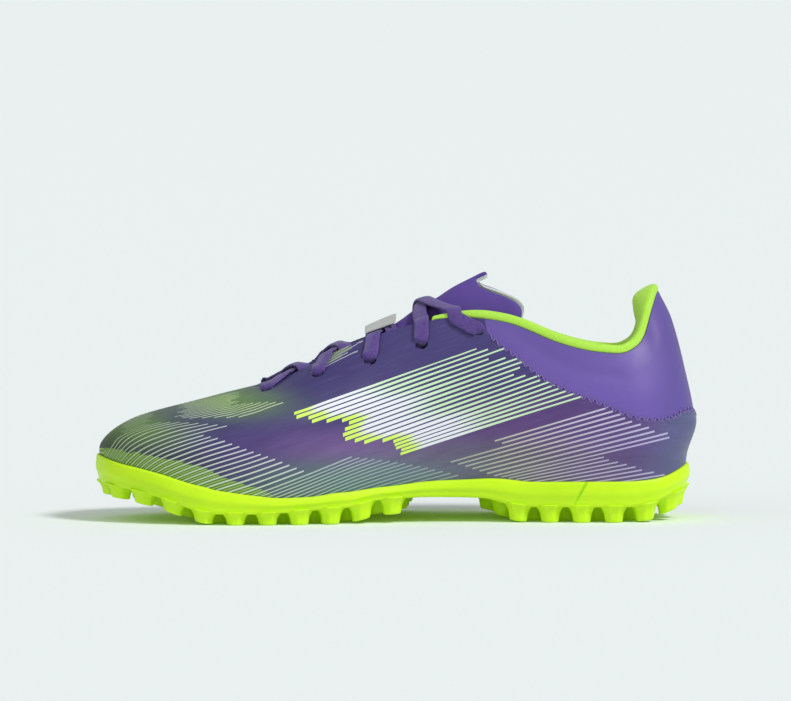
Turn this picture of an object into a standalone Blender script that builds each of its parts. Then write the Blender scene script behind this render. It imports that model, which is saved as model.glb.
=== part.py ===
# Turf shoe for the right foot, empty and standing on its sole.
# Metres, +Z up. The toe points to -X, the heel to +X and the inner (medial) side to -Y.
# The origin is on the floor, under the middle of the shoe.

import math
from collections import namedtuple
from functools import lru_cache

import bmesh
import bpy
import numpy as np
from mathutils import Matrix, Vector
from mathutils.bvhtree import BVHTree

# Sizes of the last
SHOE_LENGTH = 0.288
BALL_WIDTH = 0.104
HEEL_WIDTH = 0.072
INSTEP_HEIGHT = 0.098
COLLAR_HEIGHT = 0.110

# Sizes of the sole
SOLE_HEIGHT = 0.032
LUG_HEIGHT = 0.0075
LUG_ROOT = 0.0115
LUG_TIP = 0.0088
LUG_PITCH = 0.0150
LUG_LINE_PITCH = 0.96
LUG_SPACING = 0.92
LUG_INSET = 0.0073
LUG_SINK = 0.0016
RIM_WALL = 0.0030
RIM_EDGE = 0.0012
LIP_HEIGHT = 0.0080
LIP_SHARE = 0.62
LIP_STEP = 0.0010
EDGE_ROUND = 0.0013
GROOVE_WIDTH = 0.0014
GROOVE_DEPTH = 0.0016

# Sizes of the upper and of what lies in it
UPPER_WALL = 0.0018
PANEL_STEP = 0.0008
EYELET_DIAMETER = 0.0042
EYELET_INSET = 0.0145
RIM_BEAD = 0.0042
RIM_PAD = 0.0062
LINING_THICKNESS = 0.0036
LINING_DEPTH = 0.042
HEEL_PAD = 1.1
INSOLE_THICKNESS = 0.0040
TONGUE_THICKNESS = 0.0036
TONGUE_OVERLAP = 0.0120

# Sizes of the lace and its keeper
LACE_WIDTH = 0.0064
LACE_THICKNESS = 0.0015
LACE_CLEARANCE = 0.0008
LACE_BITE = 0.0007
KEEPER_WIDTH = 0.0135
KEEPER_THICKNESS = 0.0010
KEEPER_CLEARANCE = 0.0009
STRAND_SHORT = 0.006

# Clearance between pieces that meet
GAP = 0.0003
LINING_GAP = 0.0009

# Where the lining starts on each side, by rib, and its rows as shares of its depth
LINING_START = 0.545
LINING_ROWS = (0.0, 0.33, 0.67, 1.0)
LINING_THINNING = (1.0, 0.9, 0.4)

# Section of the collar's pad, from inside over the top. lift, out: shares of its height.
# inward: share of its thickness, behind: share of the wall it stands behind
RimRow = namedtuple("RimRow", "lift out inward behind")
RIM_SECTION = (
    RimRow(0.35, 0.00, 0.80, 1.0),
    RimRow(1.00, 0.00, 0.80, 0.0),
    RimRow(1.00, 0.00, 0.25, 0.0),
    RimRow(0.55, 0.10, 0.00, 0.0),
)

# Columns round the shoe: COLUMNS from toe tip to heel tip on each side
COLUMNS = 40

# Outline of the sole. along: share of the length from the toe tip. inner, outer: shares of the width
OutlineRow = namedtuple("OutlineRow", "along inner outer")
OUTLINE = (
    OutlineRow(0.000, -0.070, -0.070),
    OutlineRow(0.016, -0.225, 0.085),
    OutlineRow(0.048, -0.325, 0.215),
    OutlineRow(0.100, -0.405, 0.322),
    OutlineRow(0.160, -0.455, 0.404),
    OutlineRow(0.240, -0.481, 0.472),
    OutlineRow(0.310, -0.475, 0.506),
    OutlineRow(0.390, -0.432, 0.510),
    OutlineRow(0.470, -0.372, 0.492),
    OutlineRow(0.560, -0.350, 0.494),
    OutlineRow(0.650, -0.392, 0.517),
    OutlineRow(0.750, -0.458, 0.530),
    OutlineRow(0.840, -0.479, 0.507),
    OutlineRow(0.910, -0.450, 0.470),
    OutlineRow(0.955, -0.360, 0.375),
    OutlineRow(0.985, -0.190, 0.200),
    OutlineRow(0.992, 0.000, 0.000),
)

# Heights of the sole, as shares of its height. rise: tread above the floor.
# bed and rim: foot bed and top edge of the wall, above the underside of the plate
SoleRow = namedtuple("SoleRow", "along rise bed rim")
SOLE = (
    SoleRow(0.000, 0.400, 0.120, 0.358),
    SoleRow(0.052, 0.335, 0.112, 0.302),
    SoleRow(0.108, 0.225, 0.104, 0.300),
    SoleRow(0.174, 0.038, 0.116, 0.321),
    SoleRow(0.208, 0.000, 0.118, 0.284),
    SoleRow(0.267, 0.000, 0.104, 0.212),
    SoleRow(0.309, 0.000, 0.098, 0.178),
    SoleRow(0.361, 0.000, 0.106, 0.192),
    SoleRow(0.410, 0.006, 0.120, 0.241),
    SoleRow(0.483, 0.125, 0.100, 0.196),
    SoleRow(0.556, 0.150, 0.116, 0.244),
    SoleRow(0.642, 0.135, 0.144, 0.293),
    SoleRow(0.694, 0.032, 0.246, 0.380),
    SoleRow(0.729, 0.000, 0.270, 0.383),
    SoleRow(0.885, 0.000, 0.274, 0.391),
    SoleRow(0.924, 0.032, 0.256, 0.380),
    SoleRow(0.962, 0.156, 0.166, 0.325),
    SoleRow(1.000, 0.281, 0.132, 0.360),
)

WAIST = (0.515, 0.655)

# Ribs of the upper, from the foot bed to its top edge. way: 0 toe tip, 1 heel tip along the inner side,
# 2 toe tip again along the outer side. along, across, height: where the rib ends on the top edge.
# hug: how long it stays upright. foot, low, mid, high: how far it swells, as shares of the width
RibRow = namedtuple("RibRow", "way along across height hug foot low mid high")
RIBS = (
    RibRow(0.000, 0.264, -0.030, 0.654, 2.9, 0.012, 0.034, 0.031, -0.028),
    RibRow(0.100, 0.268, -0.092, 0.654, 3.1, 0.012, 0.033, 0.034, -0.012),
    RibRow(0.200, 0.288, -0.126, 0.672, 3.6, 0.008, 0.025, 0.035, 0.004),
    RibRow(0.300, 0.340, -0.140, 0.738, 3.8, 0.006, 0.021, 0.038, 0.014),
    RibRow(0.400, 0.420, -0.158, 0.857, 2.8, 0.006, 0.023, 0.043, 0.024),
    RibRow(0.500, 0.510, -0.186, 0.940, 2.0, 0.008, 0.033, 0.049, 0.030),
    RibRow(0.580, 0.590, -0.250, 0.946, 1.5, 0.012, 0.047, 0.056, 0.034),
    RibRow(0.660, 0.680, -0.352, 0.887, 1.2, 0.016, 0.060, 0.066, 0.034),
    RibRow(0.740, 0.767, -0.417, 0.788, 1.1, 0.017, 0.058, 0.061, 0.028),
    RibRow(0.820, 0.844, -0.417, 0.742, 1.0, 0.019, 0.058, 0.061, 0.030),
    RibRow(0.880, 0.890, -0.370, 0.748, 1.0, 0.025, 0.083, 0.083, 0.044),
    RibRow(0.920, 0.914, -0.292, 0.805, 1.0, 0.028, 0.100, 0.098, 0.056),
    RibRow(0.950, 0.927, -0.222, 0.912, 1.0, 0.031, 0.114, 0.104, 0.062),
    RibRow(0.975, 0.935, -0.125, 0.978, 1.0, 0.034, 0.126, 0.105, 0.061),
    RibRow(1.000, 0.940, 0.000, 0.996, 1.0, 0.035, 0.131, 0.106, 0.064),
    RibRow(1.025, 0.935, 0.125, 0.976, 1.0, 0.034, 0.126, 0.105, 0.061),
    RibRow(1.050, 0.927, 0.222, 0.906, 1.0, 0.031, 0.114, 0.104, 0.062),
    RibRow(1.080, 0.914, 0.292, 0.795, 1.0, 0.028, 0.100, 0.098, 0.056),
    RibRow(1.120, 0.890, 0.370, 0.733, 1.0, 0.025, 0.083, 0.083, 0.044),
    RibRow(1.180, 0.844, 0.424, 0.720, 1.0, 0.019, 0.058, 0.061, 0.030),
    RibRow(1.260, 0.767, 0.410, 0.766, 1.2, 0.017, 0.058, 0.061, 0.028),
    RibRow(1.340, 0.680, 0.333, 0.868, 1.4, 0.016, 0.056, 0.060, 0.034),
    RibRow(1.420, 0.590, 0.222, 0.932, 1.7, 0.012, 0.045, 0.052, 0.030),
    RibRow(1.500, 0.510, 0.156, 0.932, 2.0, 0.008, 0.033, 0.045, 0.024),
    RibRow(1.600, 0.420, 0.122, 0.854, 2.6, 0.006, 0.025, 0.043, 0.020),
    RibRow(1.700, 0.340, 0.100, 0.738, 3.4, 0.006, 0.021, 0.036, 0.012),
    RibRow(1.800, 0.288, 0.078, 0.672, 3.4, 0.008, 0.025, 0.035, 0.004),
    RibRow(1.900, 0.268, 0.036, 0.654, 3.1, 0.012, 0.033, 0.034, -0.012),
)
SWELL_HEIGHTS = (0.0, 0.12, 0.32, 0.60, 0.85, 1.0)

# Seam of the heel panel, and the row that stands in for it further forward. way as above,
# up: share of the rib, step: share of the panel's step
SeamRow = namedtuple("SeamRow", "way up step")
SEAM = (
    SeamRow(0.000, 0.400, 0.0),
    SeamRow(0.100, 0.420, 0.0),
    SeamRow(0.200, 0.520, 0.0),
    SeamRow(0.300, 0.600, 0.0),
    SeamRow(0.400, 0.680, 0.0),
    SeamRow(0.560, 0.840, 0.0),
    SeamRow(0.625, 0.930, 0.1),
    SeamRow(0.655, 0.860, 1.0),
    SeamRow(0.720, 0.730, 1.0),
    SeamRow(0.800, 0.640, 1.0),
    SeamRow(0.880, 0.500, 1.0),
    SeamRow(1.000, 0.335, 1.0),
)
SEAM_EDGE = 0.012

# Rows of the tongue. way: the rib on each side. rise, lead: how far the middle stands above and ahead of
# its edges, as shares of the instep's height and of the length. peak: 0 is a round arch, 1 has a pointed
# middle and wings. pad: share of the room that the lining takes
TongueRow = namedtuple("TongueRow", "way rise lead peak pad")
TONGUE = (
    TongueRow(0.140, -0.008, 0.000, 0.0, 0.0),
    TongueRow(0.220, 0.000, 0.000, 0.0, 0.0),
    TongueRow(0.300, 0.004, 0.000, 0.0, 0.0),
    TongueRow(0.360, 0.010, 0.000, 0.0, 0.0),
    TongueRow(0.420, 0.022, 0.000, 0.0, 0.0),
    TongueRow(0.480, 0.056, 0.004, 0.0, 0.5),
    TongueRow(0.530, 0.118, 0.012, 0.0, 1.0),
    TongueRow(0.570, 0.138, 0.020, 0.0, 1.0),
    TongueRow(0.610, 0.184, 0.034, 0.1, 1.0),
    TongueRow(0.645, 0.232, 0.048, 0.5, 1.0),
    TongueRow(0.680, 0.300, 0.058, 1.0, 1.0),
)
WING_HEIGHT = 0.52
TONGUE_FRONT_LAP = 0.015
TONGUE_FRONT_WAY = 0.11
TONGUE_CROWN_CELLS = 8

# Eyelets from the toe up. way: the rib on each side, inset: share of the inset from the throat's edge
EyeletRow = namedtuple("EyeletRow", "way inset")
EYELETS = (
    EyeletRow(0.256, 1.00),
    EyeletRow(0.360, 1.00),
    EyeletRow(0.450, 1.00),
    EyeletRow(0.535, 0.80),
    EyeletRow(0.624, 0.45),
)

# The rib at which each crossing of the lace goes under the far edge of the throat. The last crossing, which
# is slack and bowed to the toe, goes over that edge and ends in the top eyelets
DIVE_WAYS = (0.310, 0.395, 0.482)
LACE_BOW = 0.007
KEEPER_CROSSING = 3

NEON = (0.46, 0.83, 0.03)
NEON_SOFT = (0.42, 0.80, 0.05)
VIOLET = (0.15, 0.09, 0.36)
PURPLE = (0.17, 0.08, 0.40)
GREY = (0.55, 0.57, 0.56)
PALE = (0.74, 0.76, 0.72)


# Curves through table rows


def hermite(places, values, slopes, at):
    """Cubic through the rows, with the slopes given."""
    at = np.atleast_1d(at)
    cell = np.clip(np.searchsorted(places, at, side="right") - 1, 0, len(places) - 2)
    width = places[cell + 1] - places[cell]
    t = np.clip((at - places[cell]) / width, 0, 1)[:, None]
    width = width[:, None]
    start, end = values[cell], values[cell + 1]
    rise = width * (slopes[cell] * t * (1 - t) ** 2 - slopes[cell + 1] * t**2 * (1 - t))
    return start + (end - start) * t**2 * (3 - 2 * t) + rise


def level_curve(places, values, at):
    """Smooth curve that never goes past a row's value between rows."""
    places = np.asarray(places, float)
    values = np.asarray(values, float).reshape(len(places), -1)
    width = np.diff(places)[:, None]
    steep = np.diff(values, axis=0) / width
    slopes = np.zeros_like(values)
    before, after = steep[:-1], steep[1:]
    same = before * after > 0
    total = np.where(same, before + after, 1)
    slopes[1:-1] = np.where(same, 2 * before * after / total, 0)
    slopes[0], slopes[-1] = steep[0], steep[-1]
    return hermite(places, values, slopes, at)


def ring_curve(places, values, at, period):
    """Smooth closed curve through rows that repeat after a period."""
    places = np.asarray(places, float)
    values = np.asarray(values, float)
    count = len(places)
    places = np.concatenate([places - period, places, places + period])
    values = np.concatenate([values, values, values])
    width = np.diff(places)[:, None]
    steep = np.diff(values, axis=0) / width
    slopes = np.zeros_like(values)
    slopes[1:-1] = (steep[:-1] * width[1:] + steep[1:] * width[:-1]) / (width[1:] + width[:-1])
    keep = slice(count - 1, 2 * count + 2)
    return hermite(places[keep], values[keep], slopes[keep], np.mod(at, period))


def smooth_step(value):
    value = min(max(value, 0.0), 1.0)
    return value * value * (3 - 2 * value)


def heel_share(along):
    """0 where the forefoot's sizes rule, 1 where the heel's do."""
    return smooth_step((along - 0.45) / 0.30)


def width_at(along):
    share = heel_share(along)
    return BALL_WIDTH * (1 - share) + HEEL_WIDTH * share


def height_at(along):
    share = heel_share(along)
    return INSTEP_HEIGHT * (1 - share) + COLLAR_HEIGHT * share


def x_at(along):
    return (along - 0.5) * SHOE_LENGTH


def along_at(x):
    return x / SHOE_LENGTH + 0.5


# Sole


def outline_corners():
    """The outline's table as points, from the toe tip round by the inner side."""
    inner = [(x_at(row.along), row.inner * width_at(row.along)) for row in OUTLINE]
    outer = [(x_at(row.along), row.outer * width_at(row.along)) for row in OUTLINE]
    return np.array(inner + outer[-2:0:-1])


@lru_cache(maxsize=None)
def outline_sides():
    """Fine points of the outline, from toe tip to heel tip, for the inner and the outer side."""
    corners = outline_corners()
    closed = np.vstack([corners, corners[:1]])
    steps = np.sqrt(np.linalg.norm(np.diff(closed, axis=0), axis=1))
    places = np.concatenate([[0], np.cumsum(steps)])
    heel = places[len(OUTLINE) - 1]
    period = places[-1]
    sides = []
    for start, end in ((0, heel), (period, heel)):
        at = np.linspace(start, end, 600)
        sides.append(ring_curve(places[:-1], corners, at, period))
    return sides


@lru_cache(maxsize=None)
def outline_table():
    """Places along the whole outline by way, with positions and outward directions."""
    inner, outer = outline_sides()
    halves = []
    for side in (inner, outer):
        length = np.concatenate([[0], np.cumsum(np.linalg.norm(np.diff(side, axis=0), axis=1))])
        share = np.linspace(0, 1, 401)
        halves.append(
            np.column_stack([np.interp(share * length[-1], length, side[:, axis]) for axis in (0, 1)])
        )
    points = np.vstack([halves[0], halves[1][-2:0:-1]])
    ahead = np.roll(points, -2, axis=0) - np.roll(points, 2, axis=0)
    out = np.column_stack([ahead[:, 1], -ahead[:, 0]])
    out /= np.linalg.norm(out, axis=1)[:, None]
    centre = points.mean(axis=0)
    if ((points - centre) * out).sum() < 0:
        out = -out
    return points, out


def outline_at(way):
    """Position and outward direction of the sole's outline."""
    points, out = outline_table()
    place = (way % 2) / 2 * len(points)
    first = int(place) % len(points)
    second = (first + 1) % len(points)
    share = place - int(place)
    position = points[first] * (1 - share) + points[second] * share
    direction = out[first] * (1 - share) + out[second] * share
    return position, direction / np.linalg.norm(direction)


SoleHeights = namedtuple("SoleHeights", "tread under bed rim")


def sole_heights(x):
    """Heights above the floor of the tread, the plate's underside, the foot bed and the rim."""
    rise, bed, rim = level_curve(
        [row.along for row in SOLE], [row[1:] for row in SOLE], np.clip(along_at(x), 0, 1)
    )[0]
    tread = rise * SOLE_HEIGHT
    under = tread + LUG_HEIGHT
    return SoleHeights(tread, under, under + bed * SOLE_HEIGHT, under + rim * SOLE_HEIGHT)


# Upper


@lru_cache(maxsize=None)
def rib(way):
    """One rib of the upper's outer face: its points, and the share of its length at each."""
    row = RibRow(way, *ring_curve([r.way for r in RIBS], [r[1:] for r in RIBS], way, 2)[0])
    edge, out = outline_at(way)
    start = edge - out * RIM_WALL
    start_height = sole_heights(edge[0]).bed + GAP
    end = np.array([x_at(row.along), row.across * width_at(row.along)])
    end_height = row.height * height_at(row.along)
    up = np.linspace(0, 1, 81)
    up = np.sort(np.concatenate([up, 1 - np.geomspace(1e-4, 0.02, 12)]))
    swell = level_curve(
        SWELL_HEIGHTS, [0, row.foot, row.low, row.mid, row.high, 0], up
    )[:, 0] * width_at(row.along)
    lean = up**row.hug
    plan = start + (end - start) * lean[:, None] + out * swell[:, None]
    points = np.column_stack([plan, start_height + (end_height - start_height) * up])
    length = np.concatenate([[0], np.cumsum(np.linalg.norm(np.diff(points, axis=0), axis=1))])
    return points, length


def rib_length(way):
    return rib(way % 2)[1][-1]


def on_rib(way, share):
    points, length = rib(way % 2)
    return np.array([np.interp(share * length[-1], length, points[:, axis]) for axis in (0, 1, 2)])


def rib_share_at(way, height):
    """Share of the rib's length at which it reaches a height."""
    points, length = rib(way % 2)
    return float(np.interp(height, points[:, 2], length)) / length[-1]


def upper_normal(way, share):
    """Outward direction of the upper's outer face."""
    low, high = max(share - 0.01, 0), min(share + 0.01, 1)
    upward = on_rib(way, high) - on_rib(way, low)
    around = on_rib(way + 0.006, share) - on_rib(way - 0.006, share)
    normal = np.cross(around, upward)
    normal /= np.linalg.norm(normal)
    out = outline_at(way)[1]
    flat = normal[0] * out[0] + normal[1] * out[1] + 0.5 * normal[2]
    return normal if flat > 0 else -normal


def in_upper(way, share, inset):
    """Point at a depth under the upper's outer face, or outside it for a negative depth."""
    return on_rib(way, share) - upper_normal(way, share) * inset


def below_top(way, distance):
    """Share of the rib at a distance under the upper's top edge."""
    return max(1 - distance / rib_length(way), 0.02)


def seam_at(way):
    """Height share and step share of the heel panel's seam."""
    folded = way if way <= 1 else 2 - way
    up, step = level_curve([row.way for row in SEAM], [row[1:] for row in SEAM], folded)[0]
    return up, step


def all_ways():
    return [column / COLUMNS for column in range(2 * COLUMNS)]


# Mesh helpers


def add_object(name, bm, material):
    bmesh.ops.recalc_face_normals(bm, faces=bm.faces)
    mesh = bpy.data.meshes.new(name)
    bm.to_mesh(mesh)
    bm.free()
    mesh.shade_smooth()
    mesh.set_sharp_from_angle(angle=math.radians(40))
    mesh.materials.append(material)
    item = bpy.data.objects.new(name, mesh)
    bpy.context.scene.collection.objects.link(item)
    return item


def add_material(name, colour, roughness):
    material = bpy.data.materials.new(name)
    material.use_nodes = True
    shader = material.node_tree.nodes["Principled BSDF"]
    shader.inputs["Base Color"].default_value = (*colour, 1)
    shader.inputs["Roughness"].default_value = roughness
    shader.inputs["Metallic"].default_value = 0
    material.diffuse_color = (*colour, 1)
    return material


def add_ring(bm, points):
    return [bm.verts.new(point) for point in points]


def join_rings(bm, first, second):
    """Wall between two rings. The slant of its triangles is the same in every piece, so walls can nest."""
    for i, vert in enumerate(first):
        j = (i + 1) % len(first)
        bm.faces.new((vert, first[j], second[j]))
        bm.faces.new((vert, second[j], second[i]))


def cap_ring(bm, ring):
    """Closes a ring round the shoe with rungs from its inner to its outer side."""
    half = len(ring) // 2
    bm.faces.new((ring[0], ring[1], ring[-1]))
    for i in range(1, half - 1):
        bm.faces.new((ring[i], ring[i + 1], ring[-i - 1], ring[-i]))
    bm.faces.new((ring[half - 1], ring[half], ring[half + 1]))


def hidden_tool(name, bm):
    """A shape that only cuts or joins another."""
    bmesh.ops.recalc_face_normals(bm, faces=bm.faces)
    mesh = bpy.data.meshes.new(name)
    bm.to_mesh(mesh)
    bm.free()
    item = bpy.data.objects.new(name, mesh)
    item.hide_render = True
    item.display_type = "WIRE"
    bpy.context.scene.collection.objects.link(item)
    return item


def add_boolean(item, tool, operation):
    modifier = item.modifiers.new(tool.name, "BOOLEAN")
    modifier.object = tool
    modifier.operation = operation
    modifier.solver = "EXACT"


def add_slab(bm, grid, thicknesses):
    """Closed sheet: a grid of points and the same grid moved in by its thickness."""
    rows, columns = grid.shape[:2]
    along = np.gradient(grid, axis=0)
    across = np.gradient(grid, axis=1)
    normal = np.cross(along, across)
    normal /= np.linalg.norm(normal, axis=2)[:, :, None]
    if normal[..., 2].sum() < 0:
        normal = -normal
    under = grid - normal * thicknesses[:, :, None]
    faces = [[[bm.verts.new(point) for point in row] for row in side] for side in (grid, under)]
    top, bottom = faces
    for i in range(rows - 1):
        for j in range(columns - 1):
            bm.faces.new((top[i][j], top[i + 1][j], top[i + 1][j + 1], top[i][j + 1]))
            bm.faces.new((bottom[i][j], bottom[i][j + 1], bottom[i + 1][j + 1], bottom[i + 1][j]))
    border = [(0, j) for j in range(columns)] + [(i, columns - 1) for i in range(1, rows)]
    border += [(rows - 1, j) for j in range(columns - 2, -1, -1)] + [(i, 0) for i in range(rows - 2, 0, -1)]
    for here, there in zip(border, border[1:] + border[:1]):
        bm.faces.new(
            (top[here[0]][here[1]], top[there[0]][there[1]], bottom[there[0]][there[1]], bottom[here[0]][here[1]])
        )


# Pieces


def make_outsole(material):
    rings = [[] for _ in range(9)]
    for way in all_ways():
        edge, out = outline_at(way)
        out = np.array([*out, 0])
        heights = sole_heights(edge[0])
        edge = np.array([*edge, 0])
        lift = np.array([0, 0, 1.0])
        bed_edge = on_rib(way, 0) + out * GAP
        bed_edge[2] = heights.bed
        middle_share = rib_share_at(way, (heights.bed + heights.rim) / 2)
        middle = in_upper(way, middle_share, -GAP)
        rim_share = rib_share_at(way, heights.rim)
        rim_inner = in_upper(way, rim_share, -GAP)
        rim_inner[2] = heights.rim
        reach = max((edge - rim_inner) @ out - EDGE_ROUND, RIM_EDGE)
        lip = min(LIP_HEIGHT, LIP_SHARE * (heights.rim - heights.under))
        section = (
            bed_edge,
            middle,
            rim_inner,
            rim_inner + out * reach,
            edge + lift * (heights.rim - EDGE_ROUND),
            edge + lift * (heights.rim - lip),
            edge - out * LIP_STEP + lift * (heights.rim - lip - LIP_STEP / 2),
            edge - out * LIP_STEP + lift * (heights.under + EDGE_ROUND),
            edge - out * (LIP_STEP + EDGE_ROUND) + lift * heights.under,
        )
        for ring, point in zip(rings, section):
            ring.append(point)
    bm = bmesh.new()
    placed = [add_ring(bm, ring) for ring in rings]
    for first, second in zip(placed, placed[1:]):
        join_rings(bm, first, second)
    cap_ring(bm, placed[0])
    cap_ring(bm, placed[-1])
    outsole = add_object("outsole", bm, material)
    add_boolean(outsole, make_lugs(), "UNION")
    add_boolean(outsole, make_grooves(), "DIFFERENCE")
    return outsole


def lug_candidates():
    """Rows of places that follow the edge, from outside in, then a grid for the middle."""
    for line in range(4):
        inset = LUG_INSET + line * LUG_LINE_PITCH * LUG_PITCH
        for first, last in ((0.0, 1.0), (2.0, 1.0)):
            side = np.linspace(first, last, 241)
            spot = np.array([outline_at(way)[0] - outline_at(way)[1] * inset for way in side])
            walked = np.concatenate([[0], np.cumsum(np.linalg.norm(np.diff(spot, axis=0), axis=1))])
            count = max(int(round(walked[-1] / LUG_PITCH)), 1)
            for step in range(count + 1):
                edge, out = outline_at(float(np.interp(step * walked[-1] / count, walked, side)))
                yield edge - out * inset, out, inset
    for column in range(int(SHOE_LENGTH / LUG_PITCH * 4)):
        for row in range(-4, 5):
            place = np.array([column * LUG_PITCH / 4 - SHOE_LENGTH / 2, row * LUG_PITCH / 4])
            yield place, np.array([0.0, 1.0]), LUG_INSET


def lug_places():
    """Where the lugs stand and which way they face. The waist has none."""
    points, outward = outline_table()
    places = []
    for place, out, inset in lug_candidates():
        nearest = np.linalg.norm(points - place, axis=1).argmin()
        depth = (points[nearest] - place) @ outward[nearest]
        near_edge = depth < 0.9 * inset
        near_lug = any(np.linalg.norm(place - other) < LUG_SPACING * LUG_PITCH for other, _ in places)
        waist = WAIST[0] < along_at(place[0]) < WAIST[1]
        if not (near_edge or near_lug or waist):
            places.append((place, out))
    return places


def make_lugs():
    """Tapered blocks with cut corners, which follow the tread's curve."""
    corners = [(1.0, 0.45), (0.45, 1.0), (-0.45, 1.0), (-1.0, 0.45)]
    corners += [(-x, -y) for x, y in corners]
    bm = bmesh.new()
    for place, out in lug_places():
        side = np.array([-out[1], out[0]])
        rings = []
        for width, sunk in ((LUG_ROOT, True), (LUG_TIP, False)):
            ring = []
            for across, along in corners:
                spot = place + (out * across + side * along) * width / 2
                heights = sole_heights(spot[0])
                height = heights.under + LUG_SINK if sunk else heights.tread
                ring.append((*spot, height))
            rings.append(add_ring(bm, ring))
        join_rings(bm, *rings)
        for ring in rings:
            bm.faces.new(ring)
    return hidden_tool("lugs_tool", bm)


def make_grooves():
    """One slanted groove in the wall on each side of the heel."""
    bm = bmesh.new()
    for way in (0.775, 1.225):
        edge, out = outline_at(way)
        heights = sole_heights(edge[0])
        middle = Vector((*edge, (heights.rim + heights.under) / 2))
        box = bmesh.ops.create_cube(bm, size=1)["verts"]
        bmesh.ops.scale(
            bm, vec=(GROOVE_WIDTH, 2 * GROOVE_DEPTH, 1.5 * (heights.rim - heights.under)), verts=box
        )
        turn = Matrix.Rotation(math.atan2(out[1], out[0]) + math.pi / 2, 3, "Z")
        slant = Matrix.Rotation(math.radians(30), 3, "Y")
        slant = slant if way < 1 else slant.inverted()
        bmesh.ops.rotate(bm, cent=(0, 0, 0), matrix=turn @ slant, verts=box)
        bmesh.ops.translate(bm, vec=middle, verts=box)
    return hidden_tool("grooves_tool", bm)


def inner_shares(way):
    """Rows of the upper's inner face, from its top edge down. The lining keeps to the first of them."""
    rim = rib_share_at(way, sole_heights(outline_at(way)[0][0]).rim)
    lining = [below_top(way, LINING_DEPTH * part) for part in LINING_ROWS]
    return [*lining, (lining[-1] + rim) / 2, rim, 0]


def outer_rows(way):
    """Rows of the upper's outer face, from the foot bed up, each as its share of the rib and its step."""
    rim = rib_share_at(way, sole_heights(outline_at(way)[0][0]).rim)
    seam, step = seam_at(way)
    below = [rim + (seam - SEAM_EDGE - rim) * part for part in (0.33, 0.67, 1.0)]
    above = [seam + SEAM_EDGE + (1 - seam - SEAM_EDGE) * part for part in (0.0, 0.5, 1.0)]
    rows = [(0, 0), (rim * 0.5, 0), (rim, 0)]
    return rows + [(share, step) for share in below] + [(share, 0) for share in above]


def make_upper(material):
    ways = all_ways()
    outer_rings = []
    inner_rings = []
    for way in ways:
        outer_rings.append([in_upper(way, share, -step * PANEL_STEP) for share, step in outer_rows(way)])
        inner_rings.append([in_upper(way, share, UPPER_WALL) for share in inner_shares(way)])
    bm = bmesh.new()
    rings = [add_ring(bm, ring) for ring in zip(*outer_rings)]
    rings += [add_ring(bm, ring) for ring in zip(*inner_rings)]
    for first, second in zip(rings, rings[1:] + rings[:1]):
        join_rings(bm, first, second)
    upper = add_object("upper", bm, material)
    add_boolean(upper, make_eyelets(), "DIFFERENCE")
    return upper


def eyelet_places():
    """Middle and outward direction of each eyelet: the inner side's row, then the outer side's."""
    rows = []
    for side in (0, 2):
        row = []
        for eyelet in EYELETS:
            way = abs(side - eyelet.way)
            share = below_top(way, eyelet.inset * EYELET_INSET)
            row.append((on_rib(way, share), upper_normal(way, share)))
        rows.append(row)
    return rows


def make_eyelets():
    bm = bmesh.new()
    for row in eyelet_places():
        for middle, out in row:
            turn = Vector((0, 0, 1)).rotation_difference(Vector(out)).to_matrix().to_4x4()
            bmesh.ops.create_cone(
                bm,
                cap_ends=True,
                segments=8,
                radius1=EYELET_DIAMETER / 2,
                radius2=EYELET_DIAMETER / 2,
                depth=4 * UPPER_WALL,
                matrix=Matrix.Translation(Vector(middle)) @ turn,
            )
    return hidden_tool("eyelets_tool", bm)


def lining_room(way):
    """Fullness of the collar's pad: it grows from the front ends of the collar, and again at the heel."""
    folded = way if way <= 1 else 2 - way
    sides = 0.45 + 0.55 * smooth_step((folded - LINING_START) / 0.09)
    return sides + HEEL_PAD * smooth_step((folded - 0.86) / 0.12)


def rim_lift(way):
    """Direction in which the collar's pad stands on the upper's edge: square to the edge, in the upper's face."""
    lift = on_rib(way, 1) - on_rib(way, 0.97)
    edge = on_rib(way + 0.006, 1) - on_rib(way - 0.006, 1)
    edge /= np.linalg.norm(edge)
    lift -= edge * (lift @ edge)
    return lift / np.linalg.norm(lift)


def make_lining(material):
    first = math.ceil(LINING_START * COLUMNS)
    sections = []
    for column in range(first, 2 * COLUMNS - first + 1):
        way = column / COLUMNS
        room = lining_room(way)
        top = on_rib(way, 1)
        out = upper_normal(way, 1)
        lift = rim_lift(way)
        bead, pad = RIM_BEAD * min(room, 1), RIM_PAD * room
        behind = UPPER_WALL + LINING_GAP
        shares = inner_shares(way)[1 : len(LINING_ROWS)]
        base = top + lift * GAP
        back = [in_upper(way, share, behind) for share in shares]
        face = [
            in_upper(way, share, behind + LINING_THICKNESS * thin)
            for share, thin in zip(shares, LINING_THINNING)
        ]
        rim = [
            base + lift * bead * row.lift + out * (bead * row.out - pad * row.inward - behind * row.behind)
            for row in RIM_SECTION
        ]
        sections.append([base, base - out * behind, *back, *face[::-1], *rim])
    bm = bmesh.new()
    rings = [add_ring(bm, section) for section in sections]
    for one, other in zip(rings, rings[1:]):
        join_rings(bm, one, other)
    for ring in (rings[0], rings[-1]):
        bm.faces.new(ring)
    return add_object("collar_lining", bm, material)


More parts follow.
